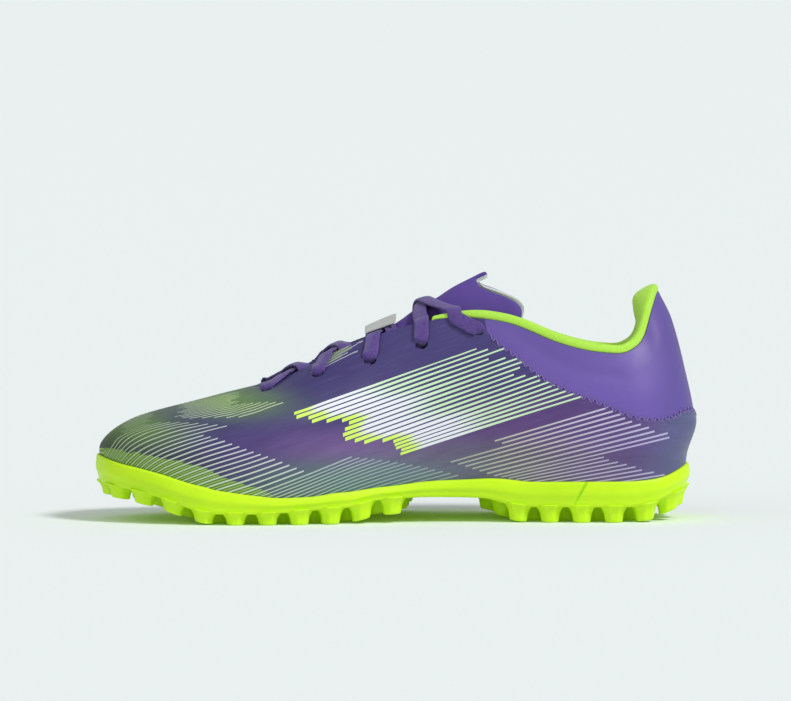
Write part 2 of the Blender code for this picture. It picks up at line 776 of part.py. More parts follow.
def tongue_grid():
    """Rows of points on the tongue's outer face, each from the inner side over the instep to the outer."""
    laps = (1.0, 0.5, 0.0)
    crown = np.linspace(-1, 1, TONGUE_CROWN_CELLS + 1)
    grid = []
    front = []
    for turn in np.linspace(-1, 1, len(crown) + 4):
        way = abs(turn) * TONGUE_FRONT_WAY
        way = way if turn < 0 else (2 - way) % 2
        front.append(in_upper(way, below_top(way, TONGUE_FRONT_LAP), UPPER_WALL + 2 * GAP))
    grid.append(front)
    for row in TONGUE:
        inset = UPPER_WALL + 2 * GAP + row.pad * (RIM_PAD + 2 * GAP)
        sides = []
        for way in (row.way, 2 - row.way):
            sides.append([in_upper(way, below_top(way, lap * TONGUE_OVERLAP), inset) for lap in laps])
        inner, outer = sides
        line = inner[:2]
        for turn in crown:
            share = (turn + 1) / 2
            side = abs(turn)
            pointed = WING_HEIGHT * (1 - side**6) + (1 - WING_HEIGHT) * (1 - side) ** 2
            arch = (1 - row.peak) * (1 - side**2) + row.peak * pointed
            point = inner[2] * (1 - share) + outer[2] * share
            lead = 1 - abs(turn) ** 3
            line.append(
                point + np.array([-row.lead * SHOE_LENGTH * lead, 0, row.rise * INSTEP_HEIGHT * arch])
            )
        line += [outer[1], outer[0]]
        grid.append(line)
    return np.array(grid)


def make_tongue(material):
    grid = tongue_grid()
    bm = bmesh.new()
    add_slab(bm, grid, np.full(grid.shape[:2], TONGUE_THICKNESS))
    return add_object("tongue", bm, material)


def make_insole(material):
    rings = [[], []]
    for way in all_ways():
        heights = sole_heights(outline_at(way)[0][0])
        for ring, lift in zip(rings, (GAP, GAP + INSOLE_THICKNESS)):
            share = rib_share_at(way, heights.bed + lift + GAP)
            out = np.array([*outline_at(way)[1], 0])
            point = on_rib(way, share) - out * (UPPER_WALL + 3 * GAP)
            point[2] = heights.bed + lift
            ring.append(point)
    bm = bmesh.new()
    placed = [add_ring(bm, ring) for ring in rings]
    join_rings(bm, *placed)
    cap_ring(bm, placed[0])
    cap_ring(bm, placed[1])
    return add_object("insole", bm, material)


def ground_tree(items):
    """One tree of the faces of several objects, to lay a strap on them."""
    points = []
    faces = []
    for item in items:
        start = len(points)
        points += [vert.co.copy() for vert in item.data.vertices]
        faces += [[start + index for index in face.vertices] for face in item.data.polygons]
    return BVHTree.FromPolygons(points, faces)


def height_over(tree, x, y):
    hit = tree.ray_cast(Vector((x, y, 1)), Vector((0, 0, -1)))[0]
    return hit.z if hit else 0.0


StrapPoint = namedtuple("StrapPoint", "middle side")
LIFT = np.array([0, 0, 1.0])


def bridge(start, end, width, trees, steps, bow=0.0):
    """Middle line of a strap, straight in plan or bowed to the toe, and taut over what lies under it."""
    ahead = (end - start)[:2] / np.linalg.norm((end - start)[:2])
    side = np.array([-ahead[1], ahead[0]]) * width / 2
    spots = []
    for share in np.linspace(0, 1, 2 * steps + 1):
        spots.append(start[:2] + (end - start)[:2] * share - np.array([4 * bow * share * (1 - share), 0]))
    edges = []
    for spot in spots:
        across = [spot + side * part for part in np.linspace(-1, 1, 9)]
        over = np.array([max(height_over(tree, *place) + clear for tree, clear in trees) for place in across])
        lowest = over.max() - width / 2
        left, right = max(over[:3].max(), lowest), max(over[-3:].max(), lowest)
        raised = max(0, (over - np.linspace(left, right, len(over))).max())
        edges.append((left + raised, right + raised))
    edges = np.array(edges)
    for _ in range(300):
        edges[1:-1] = np.maximum(edges[1:-1], (edges[:-2] + edges[2:]) / 2)
    return [
        StrapPoint(np.array([*spot, (left + right) / 2]), np.array([*side, (right - left) / 2]))
        for spot, (left, right) in list(zip(spots, edges))[::2]
    ]


def add_strap(bm, points, thickness):
    """Flat strap whose underside goes through the points."""
    rings = []
    for i, (middle, side) in enumerate(points):
        ahead = points[min(i + 1, len(points) - 1)].middle - points[max(i - 1, 0)].middle
        lift = np.cross(ahead, side)
        lift *= thickness / np.linalg.norm(lift)
        rings.append(add_ring(bm, (middle - side, middle + side, middle + side + lift, middle - side + lift)))
    for one, other in zip(rings, rings[1:]):
        join_rings(bm, one, other)
    bm.faces.new(rings[0])
    bm.faces.new(rings[-1])


def facing_points(way, inset, plan):
    """The stretch of a strand from its eyelet up to the throat's edge, and over the collar's pad there."""
    clear = LACE_CLEARANCE + GAP
    points = []
    for distance in (inset, 0.67 * inset, 0.33 * inset, 0.0):
        share = below_top(way, distance)
        out = upper_normal(way, share)
        side = np.cross(out, rim_lift(way) + plan)
        side *= LACE_WIDTH / 2 / np.linalg.norm(side)
        points.append(StrapPoint(on_rib(way, share) + out * clear, side))
    edge, side = points.pop()
    if min(way, 2 - way) < LINING_START:
        return points + [StrapPoint(edge + LIFT * clear, side)]
    bead = RIM_BEAD * min(lining_room(way), 1) + clear
    return points + [StrapPoint(edge, side), StrapPoint(edge + rim_lift(way) * bead, side)]


def strand_points(way, inset, far_way, far_inset, trees):
    """A strand of the lace: up the facing from its eyelet, over the throat, and short of the far edge.

    With a far inset it goes on over the far edge, down to that eyelet.
    """
    start = in_upper(way, 1, UPPER_WALL)
    end = in_upper(far_way, 1, UPPER_WALL)
    plan = np.array([*(end - start)[:2], 0])
    plan /= np.linalg.norm(plan)
    points = facing_points(way, inset, plan)
    if not far_inset:
        return points + bridge(start, end - plan * STRAND_SHORT, LACE_WIDTH, trees, 8)[1:]
    beyond = [StrapPoint(middle, -side) for middle, side in facing_points(far_way, far_inset, -plan)]
    return points + bridge(start, end, LACE_WIDTH, trees, 10, LACE_BOW)[1:-1] + beyond[::-1]


def mesh_tree(bm):
    bm.verts.index_update()
    points = [vert.co.copy() for vert in bm.verts]
    return BVHTree.FromPolygons(points, [[vert.index for vert in face.verts] for face in bm.faces])


def make_crossings(ground, material):
    """Crossings of the lace: each joins a strand from an inner eyelet to one from an outer eyelet."""
    items = []
    ends = [(dive, 0.0) for dive in DIVE_WAYS] + [(EYELETS[-1].way, EYELETS[-1].inset * EYELET_INSET)]
    for number, (eyelet, (far, far_inset)) in enumerate(zip(EYELETS, ends), 1):
        trees = [(ground, LACE_CLEARANCE)]
        strands = []
        inset = eyelet.inset * EYELET_INSET
        for way, far_way in ((eyelet.way, 2 - far), (2 - eyelet.way, far)):
            bm = bmesh.new()
            add_strap(bm, strand_points(way, inset, far_way, far_inset, trees), LACE_THICKNESS)
            trees.append((mesh_tree(bm), -LACE_BITE))
            strands.append(bm)
        crossing = add_object(f"lace_cross_{number}", strands[1], material)
        add_boolean(crossing, hidden_tool(f"lace_tool_{number}", strands[0]), "UNION")
        items.append(crossing)
    return items


def make_keeper(ground, crossing, material):
    """Strap across the tongue, over one crossing of the lace."""
    way = (DIVE_WAYS[KEEPER_CROSSING - 1] + EYELETS[KEEPER_CROSSING - 1].way) / 2
    inset = UPPER_WALL + KEEPER_CLEARANCE
    start, end = in_upper(way, 1, inset), in_upper(2 - way, 1, inset)
    bpy.context.view_layer.update()
    graph = bpy.context.evaluated_depsgraph_get()
    bm = bmesh.new()
    bm.from_object(crossing, graph)
    trees = [(ground, LACE_CLEARANCE), (mesh_tree(bm), KEEPER_CLEARANCE)]
    bm.free()
    bm = bmesh.new()
    add_strap(bm, bridge(start, end, KEEPER_WIDTH, trees, 10), KEEPER_THICKNESS)
    return add_object("lace_keeper", bm, material)


def centre_shoe():
    """Moves everything so that the middle of the whole shoe is over the origin."""
    bpy.context.view_layer.update()
    graph = bpy.context.evaluated_depsgraph_get()
    shown = [item.evaluated_get(graph) for item in bpy.data.objects if not item.hide_render]
    corners = np.array([corner for item in shown for corner in item.bound_box])
    middle = (corners.min(axis=0) + corners.max(axis=0)) / 2
    move = Matrix.Translation((-middle[0], -middle[1], -corners.min(axis=0)[2]))
    for item in bpy.data.objects:
        item.data.transform(move)


def main():
    for item in list(bpy.data.objects):
        bpy.data.objects.remove(item)
    neon = add_material("neon_rubber", NEON, 0.45)
    skin = add_material("printed_skin", VIOLET, 0.45)
    lining = add_material("neon_lining", NEON_SOFT, 0.8)
    purple = add_material("tongue_cloth", PURPLE, 0.75)
    bed = add_material("insole_foam", GREY, 0.85)
    cord = add_material("lace_weave", PURPLE, 0.85)
    pale = add_material("keeper_tape", PALE, 0.7)
    make_outsole(neon)
    upper = make_upper(skin)
    collar = make_lining(lining)
    tongue = make_tongue(purple)
    make_insole(bed)
    ground = ground_tree([upper, collar, tongue])
    crossings = make_crossings(ground, cord)
    make_keeper(ground, crossings[KEEPER_CROSSING - 1], pale)
    centre_shoe()


main()
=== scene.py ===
import math

import bmesh
import bpy
import numpy as np
from mathutils import Matrix, Vector
from mathutils.bvhtree import BVHTree
from mathutils.kdtree import KDTree


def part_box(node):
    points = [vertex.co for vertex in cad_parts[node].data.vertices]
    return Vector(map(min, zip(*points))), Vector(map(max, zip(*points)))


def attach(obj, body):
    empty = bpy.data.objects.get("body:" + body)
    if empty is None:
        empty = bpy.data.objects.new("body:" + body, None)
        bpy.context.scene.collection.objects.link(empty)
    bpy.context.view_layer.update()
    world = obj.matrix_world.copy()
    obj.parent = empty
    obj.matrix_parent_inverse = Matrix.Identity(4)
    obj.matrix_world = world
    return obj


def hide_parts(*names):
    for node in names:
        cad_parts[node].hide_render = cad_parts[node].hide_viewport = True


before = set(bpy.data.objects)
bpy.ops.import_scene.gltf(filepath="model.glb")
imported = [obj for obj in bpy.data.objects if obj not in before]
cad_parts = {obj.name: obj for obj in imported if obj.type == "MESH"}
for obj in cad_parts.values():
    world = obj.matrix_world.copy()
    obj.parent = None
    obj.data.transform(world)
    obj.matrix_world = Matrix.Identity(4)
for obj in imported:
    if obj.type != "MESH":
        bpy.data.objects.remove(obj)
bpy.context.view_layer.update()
bpy.ops.object.select_all(action="DESELECT")
print("frame loaded:", len(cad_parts), "nodes")

up = np.array([0, 0, 1.0])

# The last, as in the part's source: sizes in metres
last = {
    "length": 0.288,
    "ballWidth": 0.104,
    "heelWidth": 0.072,
    "instepHeight": 0.098,
    "collarHeight": 0.110,
    "soleHeight": 0.032,
    "lugHeight": 0.0075,
    "rimWall": 0.0030,
    "skinWall": 0.0018,
    "panelStep": 0.0008,
    "gap": 0.0003,
    "ways": 480,  # columns round the shoe, from toe tip to toe tip
    "shares": 201,  # rows from the foot bed to the top edge
}

# along: share of the length from the toe tip. inner, outer: shares of the width
outlineRows = np.array([
    (0.000, -0.070, -0.070), (0.016, -0.225, 0.085), (0.048, -0.325, 0.215), (0.100, -0.405, 0.322),
    (0.160, -0.455, 0.404), (0.240, -0.481, 0.472), (0.310, -0.475, 0.506), (0.390, -0.432, 0.510),
    (0.470, -0.372, 0.492), (0.560, -0.350, 0.494), (0.650, -0.392, 0.517), (0.750, -0.458, 0.530),
    (0.840, -0.479, 0.507), (0.910, -0.450, 0.470), (0.955, -0.360, 0.375), (0.985, -0.190, 0.200),
    (0.992, 0.000, 0.000),
])
# along, rise of the tread, foot bed and rim above the plate's underside
soleRows = np.array([
    (0.000, 0.400, 0.120, 0.358), (0.052, 0.335, 0.112, 0.302), (0.108, 0.225, 0.104, 0.300),
    (0.174, 0.038, 0.116, 0.321), (0.208, 0.000, 0.118, 0.284), (0.267, 0.000, 0.104, 0.212),
    (0.309, 0.000, 0.098, 0.178), (0.361, 0.000, 0.106, 0.192), (0.410, 0.006, 0.120, 0.241),
    (0.483, 0.125, 0.100, 0.196), (0.556, 0.150, 0.116, 0.244), (0.642, 0.135, 0.144, 0.293),
    (0.694, 0.032, 0.246, 0.380), (0.729, 0.000, 0.270, 0.383), (0.885, 0.000, 0.274, 0.391),
    (0.924, 0.032, 0.256, 0.380), (0.962, 0.156, 0.166, 0.325), (1.000, 0.281, 0.132, 0.360),
])
# way: 0 toe tip, 1 heel tip by the inner side, 2 toe tip again. along, across, height of the top edge,
# hug: how long the rib stays upright. foot, low, mid, high: how far it swells
ribRows = np.array([
    (0.000, 0.264, -0.030, 0.654, 2.9, 0.012, 0.034, 0.031, -0.028),
    (0.100, 0.268, -0.092, 0.654, 3.1, 0.012, 0.033, 0.034, -0.012),
    (0.200, 0.288, -0.126, 0.672, 3.6, 0.008, 0.025, 0.035, 0.004),
    (0.300, 0.340, -0.140, 0.738, 3.8, 0.006, 0.021, 0.038, 0.014),
    (0.400, 0.420, -0.158, 0.857, 2.8, 0.006, 0.023, 0.043, 0.024),
    (0.500, 0.510, -0.186, 0.940, 2.0, 0.008, 0.033, 0.049, 0.030),
    (0.580, 0.590, -0.250, 0.946, 1.5, 0.012, 0.047, 0.056, 0.034),
    (0.660, 0.680, -0.352, 0.887, 1.2, 0.016, 0.060, 0.066, 0.034),
    (0.740, 0.767, -0.417, 0.788, 1.1, 0.017, 0.058, 0.061, 0.028),
    (0.820, 0.844, -0.417, 0.742, 1.0, 0.019, 0.058, 0.061, 0.030),
    (0.880, 0.890, -0.370, 0.748, 1.0, 0.025, 0.083, 0.083, 0.044),
    (0.920, 0.914, -0.292, 0.805, 1.0, 0.028, 0.100, 0.098, 0.056),
    (0.950, 0.927, -0.222, 0.912, 1.0, 0.031, 0.114, 0.104, 0.062),
    (0.975, 0.935, -0.125, 0.978, 1.0, 0.034, 0.126, 0.105, 0.061),
    (1.000, 0.940, 0.000, 0.996, 1.0, 0.035, 0.131, 0.106, 0.064),
    (1.025, 0.935, 0.125, 0.976, 1.0, 0.034, 0.126, 0.105, 0.061),
    (1.050, 0.927, 0.222, 0.906, 1.0, 0.031, 0.114, 0.104, 0.062),
    (1.080, 0.914, 0.292, 0.795, 1.0, 0.028, 0.100, 0.098, 0.056),
    (1.120, 0.890, 0.370, 0.733, 1.0, 0.025, 0.083, 0.083, 0.044),
    (1.180, 0.844, 0.424, 0.720, 1.0, 0.019, 0.058, 0.061, 0.030),
    (1.260, 0.767, 0.410, 0.766, 1.2, 0.017, 0.058, 0.061, 0.028),
    (1.340, 0.680, 0.333, 0.868, 1.4, 0.016, 0.056, 0.060, 0.034),
    (1.420, 0.590, 0.222, 0.932, 1.7, 0.012, 0.045, 0.052, 0.030),
    (1.500, 0.510, 0.156, 0.932, 2.0, 0.008, 0.033, 0.045, 0.024),
    (1.600, 0.420, 0.122, 0.854, 2.6, 0.006, 0.025, 0.043, 0.020),
    (1.700, 0.340, 0.100, 0.738, 3.4, 0.006, 0.021, 0.036, 0.012),
    (1.800, 0.288, 0.078, 0.672, 3.4, 0.008, 0.025, 0.035, 0.004),
    (1.900, 0.268, 0.036, 0.654, 3.1, 0.012, 0.033, 0.034, -0.012),
])
swellHeights = (0.0, 0.12, 0.32, 0.60, 0.85, 1.0)
# way, share of the rib, share of the panel's step
seamRows = np.array([
    (0.000, 0.400, 0.0), (0.100, 0.420, 0.0), (0.200, 0.520, 0.0), (0.300, 0.600, 0.0), (0.400, 0.680, 0.0),
    (0.560, 0.840, 0.0), (0.625, 0.930, 0.1), (0.655, 0.860, 1.0), (0.720, 0.730, 1.0), (0.800, 0.640, 1.0),
    (0.880, 0.500, 1.0), (1.000, 0.335, 1.0),
])


# Curves through table rows


def hermite(places, values, slopes, at):
    at = np.atleast_1d(at)
    cell = np.clip(np.searchsorted(places, at, side="right") - 1, 0, len(places) - 2)
    width = places[cell + 1] - places[cell]
    t = np.clip((at - places[cell]) / width, 0, 1)[:, None]
    width = width[:, None]
    start, end = values[cell], values[cell + 1]
    rise = width * (slopes[cell] * t * (1 - t) ** 2 - slopes[cell + 1] * t**2 * (1 - t))
    return start + (end - start) * t**2 * (3 - 2 * t) + rise


def levelCurve(places, values, at):
    places = np.asarray(places, float)
    values = np.asarray(values, float).reshape(len(places), -1)
    steep = np.diff(values, axis=0) / np.diff(places)[:, None]
    slopes = np.zeros_like(values)
    before, after = steep[:-1], steep[1:]
    same = before * after > 0
    slopes[1:-1] = np.where(same, 2 * before * after / np.where(same, before + after, 1), 0)
    slopes[0], slopes[-1] = steep[0], steep[-1]
    return hermite(places, values, slopes, at)


def ringCurve(places, values, at, period):
    places, values = np.asarray(places, float), np.asarray(values, float)
    count = len(places)
    places = np.concatenate([places - period, places, places + period])
    values = np.concatenate([values, values, values])
    width = np.diff(places)[:, None]
    steep = np.diff(values, axis=0) / width
    slopes = np.zeros_like(values)
    slopes[1:-1] = (steep[:-1] * width[1:] + steep[1:] * width[:-1]) / (width[1:] + width[:-1])
    keep = slice(count - 1, 2 * count + 2)
    return hermite(places[keep], values[keep], slopes[keep], np.mod(at, period))


def smoothStep(value):
    value = np.clip(value, 0, 1)
    return value * value * (3 - 2 * value)


def widthAt(along):
    share = smoothStep((along - 0.45) / 0.30)
    return last["ballWidth"] * (1 - share) + last["heelWidth"] * share


def heightAt(along):
    share = smoothStep((along - 0.45) / 0.30)
    return last["instepHeight"] * (1 - share) + last["collarHeight"] * share


def xAt(along):
    return (along - 0.5) * last["length"]


def outlineTable():
    along = outlineRows[:, 0]
    inner = np.column_stack([xAt(along), outlineRows[:, 1] * widthAt(along)])
    outer = np.column_stack([xAt(along), outlineRows[:, 2] * widthAt(along)])
    corners = np.vstack([inner, outer[-2:0:-1]])
    closed = np.vstack([corners, corners[:1]])
    places = np.concatenate([[0], np.cumsum(np.sqrt(np.linalg.norm(np.diff(closed, axis=0), axis=1)))])
    halves = []
    for start in (0, places[-1]):
        side = ringCurve(places[:-1], corners, np.linspace(start, places[len(outlineRows) - 1], 600), places[-1])
        walked = np.concatenate([[0], np.cumsum(np.linalg.norm(np.diff(side, axis=0), axis=1))])
        share = np.linspace(0, 1, 401) * walked[-1]
        halves.append(np.column_stack([np.interp(share, walked, side[:, axis]) for axis in (0, 1)]))
    points = np.vstack([halves[0], halves[1][-2:0:-1]])
    ahead = np.roll(points, -2, axis=0) - np.roll(points, 2, axis=0)
    out = np.column_stack([ahead[:, 1], -ahead[:, 0]])
    out /= np.linalg.norm(out, axis=1)[:, None]
    return points, out if ((points - points.mean(axis=0)) * out).sum() > 0 else -out


outlinePoints, outlineOut = outlineTable()


def outlineAt(ways):
    place = np.mod(np.atleast_1d(ways), 2) / 2 * len(outlinePoints)
    first = np.floor(place).astype(int) % len(outlinePoints)
    second = (first + 1) % len(outlinePoints)
    share = (place - np.floor(place))[:, None]
    out = outlineOut[first] * (1 - share) + outlineOut[second] * share
    out /= np.linalg.norm(out, axis=1)[:, None]
    return outlinePoints[first] * (1 - share) + outlinePoints[second] * share, out


def soleHeights(x):
    along = np.clip(np.asarray(x) / last["length"] + 0.5, 0, 1)
    rise, bed, rim = levelCurve(soleRows[:, 0], soleRows[:, 1:], along).T * last["soleHeight"]
    under = rise + last["lugHeight"]
    return rise, under, under + bed, under + rim


def skinTable():
    ways = np.arange(last["ways"]) * 2 / last["ways"]
    rows = ringCurve(ribRows[:, 0], ribRows[:, 1:], ways, 2)
    edge, out = outlineAt(ways)
    start = edge - out * last["rimWall"]
    bed = soleHeights(edge[:, 0])[2] + last["gap"]
    width = widthAt(rows[:, 0])
    end = np.column_stack([xAt(rows[:, 0]), rows[:, 1] * width])
    top = rows[:, 2] * heightAt(rows[:, 0])
    climb = np.sort(np.concatenate([np.linspace(0, 1, 161), 1 - np.geomspace(1e-4, 0.02, 12)]))
    none = np.zeros(len(ways))
    swell = levelCurve(swellHeights, [none, *rows[:, 4:].T, none], climb).T * width[:, None]
    lean = climb[None, :] ** rows[:, 3][:, None]
    plan = start[:, None] + (end - start)[:, None] * lean[..., None] + out[:, None] * swell[..., None]
    height = bed[:, None] + (top - bed)[:, None] * climb
    ribs = np.concatenate([plan, height[..., None]], axis=2)
    shares = np.linspace(0, 1, last["shares"])
    table = np.zeros((len(ways), len(shares), 3))
    lengths = np.zeros(len(ways))
    for i, points in enumerate(ribs):
        walked = np.concatenate([[0], np.cumsum(np.linalg.norm(np.diff(points, axis=0), axis=1))])
        lengths[i] = walked[-1]
        for axis in range(3):
            table[i, :, axis] = np.interp(shares * walked[-1], walked, points[:, axis])
    around = np.roll(table, -1, axis=0) - np.roll(table, 1, axis=0)
    normal = np.cross(around, np.gradient(table, axis=1))
    normal /= np.linalg.norm(normal, axis=2)[..., None]
    flat = (normal[..., :2] * out[:, None]).sum(axis=2) + 0.5 * normal[..., 2]
    normal[flat < 0] *= -1
    return table, normal, lengths


skinPoints, skinNormals, ribLengths = skinTable()


def mixTable(table, ways, shares):
    ways, shares = np.broadcast_arrays(np.asarray(ways, float), np.asarray(shares, float))
    place = np.mod(ways, 2) / 2 * last["ways"]
    row = np.clip(shares, 0, 1) * (last["shares"] - 1)
    i, j = np.floor(place).astype(int), np.minimum(np.floor(row).astype(int), last["shares"] - 2)
    a, b = (place - i)[..., None], (row - j)[..., None]
    i, after = i % last["ways"], (i + 1) % last["ways"]
    low = table[i, j] * (1 - a) + table[after, j] * a
    high = table[i, j + 1] * (1 - a) + table[after, j + 1] * a
    return low * (1 - b) + high * b


def normalAt(ways, shares):
    normal = mixTable(skinNormals, ways, shares)
    return normal / np.linalg.norm(normal, axis=-1)[..., None]


def skinAt(ways, shares, out=0.0):
    return mixTable(skinPoints, ways, shares) + normalAt(ways, shares) * np.asarray(out)[..., None]


def ribLength(ways):
    place = np.mod(np.asarray(ways, float), 2) / 2 * last["ways"]
    return np.interp(place, np.arange(last["ways"] + 1), np.append(ribLengths, ribLengths[0]))


def belowTop(ways, distance):
    return np.maximum(1 - distance / ribLength(ways), 0.02)


def shareAtHeight(ways, heights):
    shares = np.linspace(0, 1, last["shares"])
    line = skinAt(np.asarray(ways)[:, None], shares[None, :])[..., 2]
    return np.array([np.interp(height, row, shares) for height, row in zip(heights, line)])


def rimLift(ways):
    lift = skinAt(ways, 1.0) - skinAt(ways, 0.97)
    edge = skinAt(np.asarray(ways) + 0.006, 1.0) - skinAt(np.asarray(ways) - 0.006, 1.0)
    edge /= np.linalg.norm(edge, axis=-1)[..., None]
    lift -= edge * (lift * edge).sum(axis=-1)[..., None]
    return lift / np.linalg.norm(lift, axis=-1)[..., None]


def seamAt(ways):
    folded = np.where(np.mod(ways, 2) <= 1, np.mod(ways, 2), 2 - np.mod(ways, 2))
    return levelCurve(seamRows[:, 0], seamRows[:, 1:], folded).T


# The whole shoe is centred over the origin, as in the part's source: the insole's box gives the shift
def shoeShift():
    ways = np.arange(80) / 40
    edge, out = outlineAt(ways)
    bed = soleHeights(edge[:, 0])[2]
    ends = []
    for lift in (last["gap"], last["gap"] + 0.0040):
        point = skinAt(ways, shareAtHeight(ways, bed + lift + last["gap"]))[:, :2]
        ends.append(point - out * (last["skinWall"] + 3 * last["gap"]))
    ends = np.vstack(ends)
    low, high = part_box("insole")
    middle = (ends.min(axis=0) + ends.max(axis=0)) / 2
    return np.array([(low[0] + high[0]) / 2 - middle[0], (low[1] + high[1]) / 2 - middle[1], 0.0])


shift = shoeShift()
print("shift in mm:", (shift * 1000).round(3))


# Small helpers for meshes


def linear(red, green, blue):
    values = [channel / 255 for channel in (red, green, blue)]
    return tuple(v / 12.92 if v <= 0.04045 else ((v + 0.055) / 1.055) ** 2.4 for v in values)


def newPiece(name, points, faces):
    mesh = bpy.data.meshes.new(name)
    mesh.from_pydata([tuple(point) for point in points], [], faces)
    item = bpy.data.objects.new(name, mesh)
    bpy.context.scene.collection.objects.link(item)
    fixNormals(item)
    return item


def fixNormals(item):
    bm = bmesh.new()
    bm.from_mesh(item.data)
    bmesh.ops.recalc_face_normals(bm, faces=bm.faces)
    bm.to_mesh(item.data)
    bm.free()
    item.data.shade_smooth()


def choose(item):
    bpy.ops.object.select_all(action="DESELECT")
    item.select_set(True)
    bpy.context.view_layer.objects.active = item


def applyAll(item):
    choose(item)
    for modifier in list(item.modifiers):
        bpy.ops.object.modifier_apply(modifier=modifier.name)


def shapeRing(name, grid):
    # a flat grid, bent into a closed section led round the shoe, and joined where its borders meet
    closed = np.concatenate([grid, grid[:1]])
    closed = np.concatenate([closed, closed[:, :1]], axis=1).transpose(1, 0, 2)
    bpy.ops.mesh.primitive_grid_add(x_subdivisions=grid.shape[0], y_subdivisions=grid.shape[1], size=0.3)
    item = bpy.context.object
    item.name = item.data.name = name
    item.data.vertices.foreach_set("co", (closed.reshape(-1, 3) + shift).ravel())
    choose(item)
    bpy.ops.object.mode_set(mode="EDIT")
    bpy.ops.mesh.select_all(action="SELECT")
    bpy.ops.mesh.remove_doubles(threshold=1e-7)
    bpy.ops.object.mode_set(mode="OBJECT")
    fixNormals(item)
    return item


def stripFaces(rows, columns, first=0):
    # faces of a closed section led along an open path, with both ends filled
    faces = []
    for i in range(rows - 1):
        for j in range(columns):
            a, b = first + i * columns + j, first + i * columns + (j + 1) % columns
            faces.append((a, b, b + columns, a + columns))
    faces.append(tuple(first + j for j in range(columns)))
    faces.append(tuple(first + (rows - 1) * columns + j for j in range(columns))[::-1])
    return faces


def setFloats(item, name, values):
    layer = item.data.attributes.get(name) or item.data.attributes.new(name, "FLOAT", "POINT")
    layer.data.foreach_set("value", np.asarray(values, np.float32).ravel())


def setColours(item, name, values):
    layer = item.data.attributes.get(name) or item.data.attributes.new(name, "FLOAT_COLOR", "POINT")
    values = np.column_stack([values, np.ones(len(values))])
    layer.data.foreach_set("color", values.astype(np.float32).ravel())


def pointsOf(item):
    points = np.zeros(len(item.data.vertices) * 3)
    item.data.vertices.foreach_get("co", points)
    return points.reshape(-1, 3)


def settle(item, material, slotName, *nodes):
    item.data.materials.clear()
    item.data.materials.append(material)
    item.select_set(False)
    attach(item, "root")
    if nodes:
        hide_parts(*nodes)


# Small helpers for materials: a wire is one output of a node, and sums of wires make nodes


class Wire:
    def __init__(self, graph, socket):
        self.graph, self.socket = graph, socket

    def __add__(self, other):
        return self.graph.maths("ADD", self, other)

    def __sub__(self, other):
        return self.graph.maths("SUBTRACT", self, other)

    def __rsub__(self, other):
        return self.graph.maths("SUBTRACT", other, self)

    def __mul__(self, other):
        return self.graph.maths("MULTIPLY", self, other)

    def __lt__(self, other):
        return self.graph.maths("LESS_THAN", self, other)

    def __gt__(self, other):
        return self.graph.maths("GREATER_THAN", self, other)

    def do(self, operation, other=None):
        return self.graph.maths(operation, self, other)


